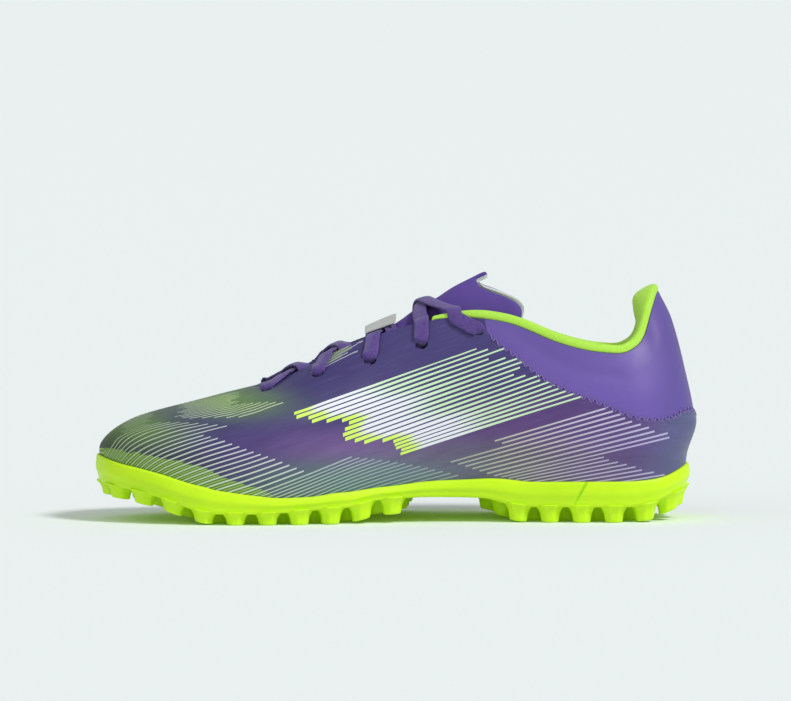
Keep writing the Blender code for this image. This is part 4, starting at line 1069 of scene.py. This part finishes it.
collarLook = {
    "start": 0.545,
    "gap": 0.0009,
    "bead": 0.0042,
    "pad": 0.0062,
    "thickness": 0.0036,
    "depth": 0.042,
    "heelPad": 1.1,
    "thinning": ((0.33, 1.0, 0.0052), (0.67, 0.9, 0.0022), (1.0, 0.4, 0.0)),  # depth, thickness, heel's extra
    "colour": linear(206, 252, 104),
    "deep": linear(150, 202, 58),
    # painted glow: emission that makes the neon lining lighter than the light on it
    "paintedGlow": 0.10,
}


def liningRoom(ways):
    folded = np.where(ways <= 1, ways, 2 - ways)
    sides = 0.45 + 0.55 * smoothStep((folded - collarLook["start"]) / 0.09)
    return sides + collarLook["heelPad"] * smoothStep((folded - 0.86) / 0.12)


def makeCollar():
    ways = np.linspace(collarLook["start"] + 0.005, 2 - collarLook["start"] - 0.005, 150)
    room = liningRoom(ways)[:, None]
    top, out, lift = skinAt(ways, 1.0), normalAt(ways, 1.0), rimLift(ways)
    bead, pad = collarLook["bead"] * np.minimum(room, 1), collarLook["pad"] * room
    behind = last["skinWall"] + collarLook["gap"]
    base = top + lift * last["gap"]
    depth = collarLook["depth"]
    back = [base, base - out * behind]
    face = []
    heelward = smoothStep((np.where(ways <= 1, ways, 2 - ways) - 0.88) / 0.10)
    for part, thin, padded in collarLook["thinning"]:
        shares = belowTop(ways, depth * part)
        back.append(skinAt(ways, shares, -behind))
        face.append(skinAt(ways, shares, -behind - collarLook["thickness"] * thin - padded * heelward))
    rim = []
    for up, outward, inward, wall in ((0.35, 0, 0.80, 1), (0.80, 0, 0.86, 0), (1.02, 0, 0.62, 0), (1.08, 0, 0.25, 0),
                                      (0.92, 0.12, 0.0, 0), (0.50, 0.20, 0.0, 0), (0.12, 0.12, 0.0, 0)):
        rim.append(base + lift * bead * up + out * (bead * outward - pad * inward - behind * wall))
    grid = np.stack([*back, *face[::-1], *rim], axis=1) + shift
    collar = newPiece("collarPad", grid.reshape(-1, 3), stripFaces(*grid.shape[:2]))
    smooth = collar.modifiers.new("smooth", "SUBSURF")
    smooth.levels = smooth.render_levels = 2
    applyAll(collar)
    collar.data.shade_smooth()
    settle(collar, liningMaterial(), "neon_lining", "collar_lining")
    return collar


def liningMaterial():
    # the emission set here is a painted glow: the lining is no lamp
    graph = Graph("neonLining", collarLook["colour"], 0.72, Specular_IOR_Level=0.25, Sheen_Weight=0.15,
                  Sheen_Roughness=0.45, Emission_Color=(*collarLook["colour"], 1),
                  Emission_Strength=collarLook["paintedGlow"])
    place = graph.objectPlace()
    knit = graph.voronoi(place, 1250)
    cloud = graph.noise(place, 60, 4)
    colour = graph.blend(graph.remap(cloud, 0.35, 0.7) * 0.30, collarLook["colour"], collarLook["deep"])
    colour = graph.blend(graph.remap(knit, 0.1, 0.6) * 0.25, collarLook["deep"], colour)
    fibre = graph.noise(place, 3200, 3, 0.6)
    normal = graph.bump(knit, 0.00018, 0.55)
    return graph.finish(colour, None, graph.bump(fibre, 0.00006, 0.5, normal))


collar = makeCollar()
print("collar:", len(collar.data.polygons), "faces")


# Tongue: purple outside with a pale lining, a pointed middle and two wings

tongueLook = {
    "thickness": 0.0034,
    "overlap": 0.0120,
    "frontLap": 0.015,
    "frontWay": 0.11,
    "wingHeight": 0.52,
    # way on each side, rise and lead of the middle, how pointed the row is, share of the lining's room
    "rows": np.array([
        (0.140, -0.008, 0.000, 0.0, 0.0), (0.220, 0.000, 0.000, 0.0, 0.0), (0.300, 0.004, 0.000, 0.0, 0.0),
        (0.360, 0.010, 0.000, 0.0, 0.0), (0.420, 0.022, 0.000, 0.0, 0.0), (0.480, 0.056, 0.004, 0.0, 0.5),
        (0.530, 0.118, 0.012, 0.0, 1.0), (0.570, 0.138, 0.020, 0.0, 1.0), (0.610, 0.184, 0.034, 0.1, 1.0),
        (0.645, 0.232, 0.048, 0.5, 1.0), (0.680, 0.300, 0.058, 1.0, 1.0),
    ]),
    "farWing": 0.0026,
    "wingReach": 0.0085,
    "notch": 0.0034,
    "tipReach": 0.0024,
    "liningEdge": 0.0024,
    "colour": linear(88, 66, 144),
    "lining": linear(226, 230, 226),
}


def tongueGrid():
    look = tongueLook
    ways = np.linspace(0.14, 0.68, 73)
    rise, lead, peak, pad = levelCurve(look["rows"][:, 0], look["rows"][:, 1:], ways).T
    inset = last["skinWall"] + 2 * last["gap"] + pad * (collarLook["pad"] + 2 * last["gap"])
    crown = np.linspace(-1, 1, 41)
    laps = (1.0, 0.5, 0.0)
    sides = []
    for way in (ways, 2 - ways):
        sides.append([skinAt(way, belowTop(way, lap * look["overlap"]), -inset) for lap in laps])
    inner, outer = sides
    columns = [inner[0], inner[1]]
    for turn in crown:
        share, side = (turn + 1) / 2, abs(turn)
        pointed = look["wingHeight"] * (1 - side**6) + (1 - look["wingHeight"]) * (1 - side) ** 2
        arch = (1 - peak) * (1 - side**2) + peak * pointed
        point = inner[2] * (1 - share) + outer[2] * share
        farWing = look["farWing"] * smoothStep(turn / 0.5) * smoothStep((1 - turn) / 0.2)  # it stands a little higher
        wing = look["wingReach"] * smoothStep((side - 0.35) / 0.40) * smoothStep((1.05 - side) / 0.25)
        wing -= look["notch"] * smoothStep((side - 0.04) / 0.10) * smoothStep((0.50 - side) / 0.30)
        tip = look["tipReach"] * max(1 - side / 0.10, 0)
        move = np.column_stack([-lead * last["length"] * (1 - side**3) + peak * (farWing * 0.5 + wing + tip),
                                0 * arch, rise * last["instepHeight"] * arch + peak * farWing])
        columns.append(point + move)
    columns += [outer[1], outer[0]]
    grid = np.stack(columns, axis=1)
    turns = np.linspace(-1, 1, grid.shape[1])
    front = np.where(turns < 0, -turns * look["frontWay"], 2 - turns * look["frontWay"])
    lead = skinAt(front, belowTop(front, look["frontLap"]), -last["skinWall"] - 2 * last["gap"])
    between = [lead * (1 - t) + grid[0] * t for t in (0.0, 0.25, 0.5, 0.75)]
    return np.concatenate([np.stack(between), grid])


def slabPiece(name, grid, thickness, beyond=0.0):
    # a closed sheet: the grid, and the same grid moved in by its thickness and out beyond the edge
    rows, columns = grid.shape[:2]
    normal = np.cross(np.gradient(grid, axis=0), np.gradient(grid, axis=1))
    normal /= np.linalg.norm(normal, axis=2)[..., None]
    if normal[..., 2].sum() < 0:
        normal = -normal
    count = rows * columns
    points = np.concatenate([grid.reshape(-1, 3), (grid - normal * thickness + beyond).reshape(-1, 3)]) + shift
    faces = []
    for i in range(rows - 1):
        for j in range(columns - 1):
            a = i * columns + j
            faces.append((a, a + columns, a + columns + 1, a + 1))
            faces.append((count + a, count + a + 1, count + a + columns + 1, count + a + columns))
    border = [j for j in range(columns)] + [i * columns + columns - 1 for i in range(1, rows)]
    border += [(rows - 1) * columns + j for j in range(columns - 2, -1, -1)]
    border += [i * columns for i in range(rows - 2, 0, -1)]
    for here, there in zip(border, border[1:] + border[:1]):
        faces.append((here, there, there + count, here + count))
    item = newPiece(name, points, faces)
    setFloats(item, "under", np.repeat([0.0, 1.0], count))
    smooth = item.modifiers.new("smooth", "SUBSURF")
    smooth.levels = smooth.render_levels = 1
    applyAll(item)
    item.data.shade_smooth()
    return item


def makeTongue():
    grid = tongueGrid()
    # the pale lining shows beyond the cloth's edge on both sides of the middle
    ahead = np.gradient(grid, axis=0)
    ahead /= np.linalg.norm(ahead, axis=2)[..., None]
    turns = np.abs(np.linspace(-1, 1, grid.shape[1]))
    sides = smoothStep((turns - 0.12) / 0.10) * smoothStep((0.94 - turns) / 0.12)
    rows = smoothStep((np.arange(len(grid)) - (len(grid) - 6)) / 5)
    beyond = ahead * (rows[:, None] * sides[None, :] * tongueLook["liningEdge"])[..., None]
    tongue = slabPiece("tongueCloth", grid, tongueLook["thickness"], beyond)
    settle(tongue, tongueMaterial(), "tongue_cloth", "tongue")
    return tongue


def tongueMaterial():
    graph = Graph("tongueCloth", tongueLook["colour"], 0.78, Specular_IOR_Level=0.25, Sheen_Weight=0.06,
                  Sheen_Roughness=0.5)
    place = graph.objectPlace()
    under = graph.remap(graph.attribute("under"), 0.42, 0.58)
    cloud = graph.remap(graph.noise(place, 70, 4), 0.3, 0.7)
    colour = graph.blend(cloud * 0.25, tongueLook["colour"], linear(76, 56, 128))
    knit = graph.voronoi(place, 1500)
    pale = graph.blend(graph.remap(knit, 0.1, 0.6) * 0.5, linear(176, 182, 180), tongueLook["lining"])
    colour = graph.blend(under, colour, pale)
    fibre = graph.noise(place, 2600, 3, 0.6)
    normal = graph.bump(fibre, 0.00008, 0.6)
    return graph.finish(colour, None, graph.bump(knit, 0.00016, 0.4, normal))


tongue = makeTongue()
print("tongue:", len(tongue.data.polygons), "faces")


# Insole: a flat foot bed with a soft edge and a woven top cloth

insoleLook = {"thickness": 0.0040, "colour": linear(186, 190, 188), "fleck": linear(150, 156, 154)}


def makeInsole():
    ways = np.arange(160) / 80
    edge, out = outlineAt(ways)
    bed = soleHeights(edge[:, 0])[2]
    out = np.column_stack([out, np.zeros(len(out))])
    thick, gap = insoleLook["thickness"], last["gap"]
    rings = []
    for lift, inward in ((0.0, 0.0006), (0.0006, 0.0), (thick - 0.0012, 0.0), (thick - 0.0003, 0.0005), (thick, 0.0014)):
        shares = shareAtHeight(ways, bed + gap + lift + gap)
        point = skinAt(ways, shares) - out * (last["skinWall"] + 3 * gap + inward)
        point[:, 2] = bed + gap + lift
        rings.append(point)
    grid = np.stack(rings, axis=1) + shift
    rows, columns = grid.shape[:2]
    faces = []
    for i in range(rows):
        for j in range(columns - 1):
            a, b = i * columns + j, (i + 1) % rows * columns + j
            faces.append((a, a + 1, b + 1, b))
    half = rows // 2
    for j in (0, columns - 1):
        ring = [i * columns + j for i in range(rows)]
        faces.append((ring[0], ring[1], ring[-1]))
        for i in range(1, half - 1):
            faces.append((ring[i], ring[i + 1], ring[-i - 1], ring[-i]))
        faces.append((ring[half - 1], ring[half], ring[half + 1]))
    insole = newPiece("insoleBed", grid.reshape(-1, 3), faces)
    choose(insole)
    bpy.ops.object.shade_smooth_by_angle(angle=math.radians(50))
    settle(insole, insoleMaterial(), "insole_foam", "insole")
    return insole


def insoleMaterial():
    graph = Graph("insoleCloth", insoleLook["colour"], 0.86, Sheen_Weight=0.2, Sheen_Roughness=0.5)
    place = graph.objectPlace()
    weave = graph.voronoi(place, 1000)
    cloud = graph.remap(graph.noise(place, 45, 4), 0.3, 0.7)
    colour = graph.blend(cloud * 0.4, insoleLook["colour"], insoleLook["fleck"])
    colour = graph.blend(graph.remap(weave, 0.1, 0.6) * 0.35, insoleLook["fleck"], colour)
    return graph.finish(colour, None, graph.bump(weave, 0.0002, 0.5))


insole = makeInsole()
print("insole:", len(insole.data.polygons), "faces")


# Laces: one flat lace from the bottom bar up to both top eyelets, and the strap over the third crossing

laceLook = {
    "width": 0.0071,
    "topEdgeWay": 0.588,  # where the top strands cross the throat's edge
    "thickness": 0.0015,
    "clearance": 0.0004,
    "bite": 0.0003,
    "hidden": 0.0019,  # how deep under the skin's inner face the hidden runs lie
    "dives": (0.310, 0.395, 0.482),
    "bow": 0.007,
    "colour": linear(122, 88, 180),
    "shade": linear(66, 46, 116),
    "keeperWidth": 0.0148,
    "keeperThickness": 0.0007,
    "keeperLean": 0.42,
    "keeperCrossing": 3,
}


def treeOf(items):
    points, faces = [], []
    for item in items:
        first = len(points)
        points += [vert.co.copy() for vert in item.data.vertices]
        faces += [[first + index for index in face.vertices] for face in item.data.polygons]
    return BVHTree.FromPolygons(points, faces)


def heightOver(tree, x, y):
    hit = tree.ray_cast(Vector((x + shift[0], y + shift[1], 1)), Vector((0, 0, -1)))[0]
    return hit.z if hit else 0.0


def bridge(start, end, width, trees, steps, bow=0.0, lean=None, taut=400):
    # a strap pulled straight in plan, or bowed to the toe, and taut over what lies under it. lean: its fixed slope
    ahead = (end - start)[:2] / np.linalg.norm((end - start)[:2])
    side = np.array([-ahead[1], ahead[0]]) * width / 2
    shares = np.linspace(0, 1, steps + 1)
    spots = [start[:2] + (end - start)[:2] * t - np.array([4 * bow * t * (1 - t), 0]) for t in shares]
    edges = []
    for spot in spots:
        across = [spot + side * part for part in np.linspace(-1, 1, 9)]
        over = np.array([max(heightOver(tree, *place) + clear for tree, clear in trees) for place in across])
        lowest = over.max() - width / 2
        left, right = max(over[:3].max(), lowest), max(over[-3:].max(), lowest)
        if lean is not None:
            left, right = lean * width / 2, -lean * width / 2
        raised = (over - np.linspace(left, right, len(over))).max()
        raised = max(0, raised) if lean is None else raised
        edges.append((left + raised, right + raised))
    edges = np.array(edges)
    for _ in range(taut):
        edges[1:-1] = np.maximum(edges[1:-1], (edges[:-2] + edges[2:]) / 2)
    return [(np.array([*spot, (a + b) / 2]), np.array([*side, (b - a) / 2])) for spot, (a, b) in zip(spots, edges)]


def facingRun(eyeletWay, share, plan, clear, edgeWay):
    # from the eyelet up to the throat's edge, and over the collar's pad there
    points = []
    distance = (1 - share) * float(ribLength(eyeletWay))
    for part in (1.0, 0.8, 0.6, 0.4, 0.2, 0.0):
        way = eyeletWay * part + edgeWay * (1 - part)
        at = float(belowTop(way, distance * part))
        out = normalAt(way, at)
        side = np.cross(out, rimLift(way) + plan)
        side *= laceLook["width"] / 2 / np.linalg.norm(side)
        points.append((skinAt(way, at) + out * clear, side))
    edge, side = points.pop()
    if min(way, 2 - way) < collarLook["start"]:
        return points + [(edge + up * clear, side)]
    bead = collarLook["bead"] * min(float(liningRoom(np.array(way))), 1) * 1.08 + clear
    return points + [(edge, side), (edge + rimLift(way) * bead, side)]


def hiddenRun(fromWay, fromShare, toWay, toShare):
    # behind the facing, from where the strand dives to the next eyelet
    depth = last["skinWall"] + laceLook["hidden"]
    run = []
    for t in np.linspace(0, 1, 7):
        way, share = fromWay + (toWay - fromWay) * t, fromShare + (toShare - fromShare) * t
        out = normalAt(way, share)
        ahead = skinAt(toWay, toShare) - skinAt(fromWay, fromShare)
        side = np.cross(out, ahead)
        run.append((skinAt(way, share, -depth), side * laceLook["width"] * 0.46 / np.linalg.norm(side)))
    return run


def holeRun(way, share, side, higher=0.0014):
    # through the punched slot: the lace ends square at it, and leaves its lower half dark
    out = normalAt(way, share)
    lift = rimLift(way)
    middle = skinAt(way, share)
    depth = last["skinWall"] + laceLook["hidden"]
    return [
        (middle - out * depth + lift * (higher + 0.0004), side * 0.68),
        (middle - out * last["skinWall"] * 0.5 + lift * (higher + 0.0005), side * 0.72),
        (middle + out * 0.0003 + lift * (higher + 0.0007), side * 0.92),
        (middle + out * (laceLook["clearance"] + 0.0005) + lift * (higher + 0.0016), side),
    ]


def strand(way, share, farWay, farShare, trees, over):
    edgeWay = farWay
    if over:
        edgeWay = laceLook["topEdgeWay"] if farWay < 1 else 2 - laceLook["topEdgeWay"]
    start = skinAt(way, 1.0, -last["skinWall"])
    end = skinAt(edgeWay, 1.0, -last["skinWall"])
    plan = np.array([*(end - start)[:2], 0])
    plan /= np.linalg.norm(plan)
    clear = laceLook["clearance"]
    rise = facingRun(way, share, plan, clear, way)
    hole = holeRun(way, share, rise[0][1])
    if over:
        beyond = [(middle, -side) for middle, side in facingRun(farWay, farShare, -plan, clear, edgeWay)]
        middle = bridge(start, end, laceLook["width"], trees, 24, laceLook["bow"])[1:-1]
        hidden = [(spot, -side) for spot, side in holeRun(farWay, farShare, -beyond[0][1], 0.0)]
        return hole + rise[1:] + middle + beyond[:0:-1] + hidden[::-1]
    middle = bridge(start, end, laceLook["width"], trees, 18)[1:-1]
    return hole + rise[1:] + middle


def smoothPath(points):
    # resampled at even steps along the lace, with its kinks eased
    spots = np.array([point for point, _ in points])
    sides = np.array([side for _, side in points])
    wide = np.linalg.norm(sides, axis=1)
    sides /= wide[:, None]
    for i in range(1, len(sides)):
        if sides[i] @ sides[i - 1] < 0:
            sides[i:] = -sides[i:]
    walked = np.concatenate([[0], np.cumsum(np.linalg.norm(np.diff(spots, axis=0), axis=1))])
    at = np.linspace(0, walked[-1], int(walked[-1] / 0.0009) + 1)
    spots = np.column_stack([np.interp(at, walked, spots[:, axis]) for axis in range(3)])
    sides = np.column_stack([np.interp(at, walked, sides[:, axis]) for axis in range(3)])
    wide = np.interp(at, walked, wide)
    for _ in range(5):
        spots[1:-1] = spots[1:-1] * 0.5 + (spots[:-2] + spots[2:]) * 0.25
        sides[1:-1] = sides[1:-1] * 0.5 + (sides[:-2] + sides[2:]) * 0.25
    ahead = np.gradient(spots, axis=0)
    ahead /= np.linalg.norm(ahead, axis=1)[:, None]
    sides -= ahead * (sides * ahead).sum(axis=1)[:, None]
    sides /= np.linalg.norm(sides, axis=1)[:, None]
    return spots, sides, wide, ahead, at


def flatTube(paths, thickness, count=18):
    # a flat section with round edges, led along each path. Returns points, faces and the cloth's own places
    points, faces, cloth = [], [], []
    for path, lift in paths:
        spots, sides, wide, ahead, at = smoothPath(path)
        normal = np.cross(ahead, sides)
        if lift(spots, normal) < 0:
            normal = -normal
        first = len(points)
        turns = np.linspace(0, 2 * math.pi, count, endpoint=False)
        across = np.sign(np.cos(turns)) * np.abs(np.cos(turns)) ** 0.7
        tall = np.sign(np.sin(turns)) * np.abs(np.sin(turns)) ** 0.6
        for spot, side, half, square, place in zip(spots, sides, wide, normal, at):
            for a, b in zip(across, tall):
                crown = 0.12 * (1 - a * a)
                points.append(spot + side * half * a + square * thickness * (0.5 + 0.5 * b + crown * (b > 0)))
                cloth.append((a * half * 1000, place * 1000))
        faces += stripFaces(len(spots), count, first)
    return np.array(points) + shift, faces, np.array(cloth)


def upward(spots, normal):
    return 1.0 if normal[:, 2].sum() > 0 else -1.0


def bottomBar(inner, outer, tree):
    # the lace starts as a bar over the tongue, behind the facings, between the two lowest eyelets
    depth = last["skinWall"] + laceLook["hidden"]
    start, end = skinAt(inner[0], 0.97, -depth), skinAt(outer[0], 0.97, -depth)
    near, far = hiddenRun(*inner, inner[0], 0.97), hiddenRun(*outer, outer[0], 0.97)
    middle = bridge(start, end, laceLook["width"], [(tree, laceLook["clearance"])], 14)[1:-1]
    return near + middle + far[::-1]


def makeLaces():
    inner, outer = eyeletPlaces()
    ground = treeOf([upper, collar, tongue])
    dives = laceLook["dives"]
    strands = []
    crossings = []
    for number in range(4):
        trees = [(ground, laceLook["clearance"])]
        pair = []
        for row, farRow, side in ((inner, outer, 0), (outer, inner, 2)):
            way, share = row[number]
            over = number == 3
            farWay = farRow[4][0] if over else (2 - dives[number] if side == 0 else dives[number])
            farShare = farRow[4][1] if over else 1.0
            line = strand(way, share, farWay, farShare, trees, over)
            if not over:
                nextWay, nextShare = farRow[number + 1]
                dive = [(skinAt(farWay, 0.985, -last["skinWall"] - laceLook["hidden"]), line[-1][1])]
                line = line[:-1] + dive + hiddenRun(farWay, 0.97, nextWay, nextShare)[1:]
            points, faces, _ = flatTube([(line, upward)], laceLook["thickness"])
            tree = BVHTree.FromPolygons([Vector(point) for point in points], faces)
            trees.append((tree, -laceLook["bite"]))
            crossings.append(tree)
            pair.append(line)
        strands += pair
    strands.append(bottomBar(inner[0], outer[0], treeOf([tongue])))
    points, faces, cloth = flatTube([(line, upward) for line in strands], laceLook["thickness"])
    walked = [np.linalg.norm(np.diff([spot for spot, _ in line], axis=0), axis=1).sum() for line in strands]
    print("lace path in mm:", round(sum(walked) * 1000))
    laces =newPiece("laces", points, faces)
    setFloats(laces, "acrossLace", cloth[:, 0])
    setFloats(laces, "alongLace", cloth[:, 1])
    nodes = [f"lace_cross_{number}" for number in (1, 2, 3, 4)]
    settle(laces, laceMaterial("laceWeave", laceLook["colour"], laceLook["shade"]), "lace_weave", *nodes)
    return laces, ground, crossings


def laceMaterial(name, colour, shade):
    graph = Graph(name, colour, 0.80, Sheen_Weight=0.30, Sheen_Roughness=0.45)
    across, along = graph.attribute("acrossLace"), graph.attribute("alongLace")
    slant = across.do("ABSOLUTE") * 0.8
    ribs = graph.maths("PINGPONG", (along + slant) * 1.35, 0.5)
    rows = graph.maths("PINGPONG", across * 1.9, 0.5)
    weave = graph.remap(ribs, 0.05, 0.42) * graph.remap(rows, 0.02, 0.30, 0.35, 1.0)
    place = graph.objectPlace()
    cloud = graph.remap(graph.noise(place, 130, 4), 0.3, 0.7) * 0.25
    mottle = graph.remap(graph.noise(place, 760, 2), 0.40, 0.62) * 0.55
    tone = graph.blend(weave, shade, colour)
    tone = graph.blend(cloud, tone, shade)
    tone = graph.blend(mottle, tone, shade)
    fuzz = graph.noise(place, 2600, 3, 0.65)
    normal = graph.bump(weave, 0.00028, 0.75)
    return graph.finish(tone, None, graph.bump(fuzz, 0.0001, 0.5, normal))


def makeKeeper(ground, crossings):
    number = laceLook["keeperCrossing"] - 1
    way = (laceLook["dives"][number] + upperLook["eyelets"][number][0]) / 2 - 0.006
    depth = last["skinWall"] + 0.0006
    start, end = skinAt(way, 1.0, -depth), skinAt(2 - way, 1.0, -depth)
    trees = [(ground, 0.0003)] + [(tree, 0.0002) for tree in crossings[2 * number : 2 * number + 2]]
    line = bridge(start, end, laceLook["keeperWidth"], trees, 22, 0.0, laceLook["keeperLean"], 40)
    print("strap path in mm:", round(np.linalg.norm(np.diff([spot for spot, _ in line], axis=0), axis=1).sum() * 1000))
    points, faces, cloth = flatTube([(line, upward)], laceLook["keeperThickness"], 26)
    keeper = newPiece("laceKeeper", points, faces)
    setFloats(keeper, "acrossLace", cloth[:, 0])
    setFloats(keeper, "alongLace", cloth[:, 1])
    pale = laceMaterial("keeperTape", linear(222, 224, 220), linear(176, 178, 174))
    settle(keeper, pale, "keeper_tape", "lace_keeper")
    return keeper


laces, ground, crossings = makeLaces()
keeper = makeKeeper(ground, crossings)
print("laces:", len(laces.data.polygons), "faces")


# Seam: zig-zag stitches over the edge of the heel panel, each a short thread sunk into the skin

stitchLook = {"pitch": 0.0020, "reach": 0.0013, "thread": 0.00031, "firstWay": 0.640, "colour": linear(134, 112, 178)}


def stitchModel():
    bpy.ops.mesh.primitive_cylinder_add(vertices=6, radius=1, depth=1, location=(0, 0, 0))
    model = bpy.context.object
    choose(model)
    bpy.ops.object.mode_set(mode="EDIT")
    bpy.ops.mesh.select_all(action="DESELECT")
    bpy.ops.object.mode_set(mode="OBJECT")
    for face in model.data.polygons:
        face.select = abs(face.normal.z) < 0.5
    bpy.ops.object.mode_set(mode="EDIT")
    bpy.ops.mesh.subdivide(number_cuts=3, smoothness=0)
    bpy.ops.object.mode_set(mode="OBJECT")
    mesh = model.data.copy()
    bpy.data.objects.remove(model)
    return mesh


def makeStitches():
    mesh = stitchModel()
    template = np.zeros(len(mesh.vertices) * 3)
    mesh.vertices.foreach_get("co", template)
    template = template.reshape(-1, 3)
    stitches = []
    for side in (0, 2):
        ways = np.abs(side - np.linspace(stitchLook["firstWay"], 1.0, 2400))
        seam = seamAt(ways)[0]
        line = skinAt(ways, seam)
        walked = np.concatenate([[0], np.cumsum(np.linalg.norm(np.diff(line, axis=0), axis=1))])
        count = int(walked[-1] / stitchLook["pitch"])
        at = np.interp(np.arange(count + 1) * stitchLook["pitch"], walked, ways)
        share = seamAt(at)[0]
        reach = stitchLook["reach"] / ribLength(at)
        zig = np.where(np.arange(count + 1) % 2 == 0, 1, -1) * reach
        spots = skinAt(at, share + zig, 0.00016 + 0.0008 * (zig < 0) * 0.9)
        outs = normalAt(at, share)
        for first, second, out in zip(spots[:-1], spots[1:], outs):
            stitch = bpy.data.objects.new("stitch", mesh.copy())
            bpy.context.scene.collection.objects.link(stitch)
            t = template[:, 2] + 0.5
            ahead = second - first
            square = np.cross(ahead, out)
            square /= np.linalg.norm(square)
            round_ = np.sqrt(np.maximum(1 - (2 * t - 1) ** 2 * 0.55, 0.1))[:, None] * stitchLook["thread"]
            arch = (0.00012 * np.sin(math.pi * t))[:, None] * out
            points = first + ahead * t[:, None] + arch
            points = points + (square * template[:, :1] + out * template[:, 1:2]) * round_
            stitch.data.vertices.foreach_set("co", (points + shift).ravel())
            stitches.append(stitch)
    choose(stitches[0])
    for stitch in stitches[1:]:
        stitch.select_set(True)
    bpy.ops.object.join()
    seam = bpy.context.object
    seam.name = seam.data.name = "seamStitches"
    fixNormals(seam)
    graph = Graph("seamThread", stitchLook["colour"], 0.6, Sheen_Weight=0.3)
    place = graph.objectPlace()
    twist = graph.noise(place, 3000, 2)
    tone = graph.blend(graph.remap(twist, 0.3, 0.7), linear(84, 64, 136), stitchLook["colour"])
    settle(seam, graph.finish(tone, None, graph.bump(twist, 0.0001, 0.6)), "lace_weave")
    return seam


seam = makeStitches()
print("stitches:", len(seam.data.polygons), "faces")


# Stage: pale floor, soft light and the camera at the photograph's angle

stageLook = {
    "background": linear(234, 240, 240),
    "floor": (0.835, 0.880, 0.880),
    "sky": 0.47,
    "lens": 400.0,
    "distance": 4.24,
    "target": (-0.0005, 0.0, 0.0808),
    "elevation": 3.5,
    # direction the light comes from (azimuth from +X to +Y, height), strength, softness in degrees
    "suns": ((-40, 46, 2.1, 14), (-120, 45, 0.3, 60)),
}


def makeStage():
    bpy.ops.mesh.primitive_plane_add(size=80, location=(0, 0, 0))
    floor = bpy.context.object
    floor.name = "floor"
    graph = Graph("studioFloor", stageLook["floor"], 0.9)
    floor.data.materials.append(graph.finish())
    world = bpy.data.worlds.new("studio")
    world.use_nodes = True
    bpy.context.scene.world = world
    tree = world.node_tree
    seen = tree.nodes["Background"]
    seen.inputs[0].default_value = (*stageLook["background"], 1)
    seen.inputs[1].default_value = 1.0
    light = tree.nodes.new("ShaderNodeBackground")
    light.inputs[0].default_value = (0.97, 1.0, 1.0, 1)
    light.inputs[1].default_value = stageLook["sky"]
    path = tree.nodes.new("ShaderNodeLightPath")
    mix = tree.nodes.new("ShaderNodeMixShader")
    tree.links.new(path.outputs["Is Camera Ray"], mix.inputs[0])
    tree.links.new(light.outputs[0], mix.inputs[1])
    tree.links.new(seen.outputs[0], mix.inputs[2])
    tree.links.new(mix.outputs[0], tree.nodes["World Output"].inputs[0])
    for azimuth, height, strength, soft in stageLook["suns"]:
        turn, climb = math.radians(azimuth), math.radians(height)
        way = Vector((math.cos(turn) * math.cos(climb), math.sin(turn) * math.cos(climb), math.sin(climb)))
        sun = bpy.data.lights.new("sun", "SUN")
        sun.energy, sun.angle = strength, math.radians(soft)
        item = bpy.data.objects.new("sun", sun)
        item.rotation_euler = way.to_track_quat("Z", "Y").to_euler()
        bpy.context.scene.collection.objects.link(item)
    camera = bpy.data.cameras.new("camera")
    camera.sensor_width, camera.lens = 36.0, stageLook["lens"]
    camera.clip_end = 200
    item = bpy.data.objects.new("camera", camera)
    tilt = math.radians(stageLook["elevation"])
    target = Vector(stageLook["target"])
    item.location = target + Vector((0, -math.cos(tilt), math.sin(tilt))) * stageLook["distance"]
    item.rotation_euler = (target - item.location).to_track_quat("-Z", "Y").to_euler()
    bpy.context.scene.collection.objects.link(item)
    bpy.context.scene.camera = item
    bpy.context.scene.view_settings.view_transform = "Standard"


makeStage()
print("stage ready")
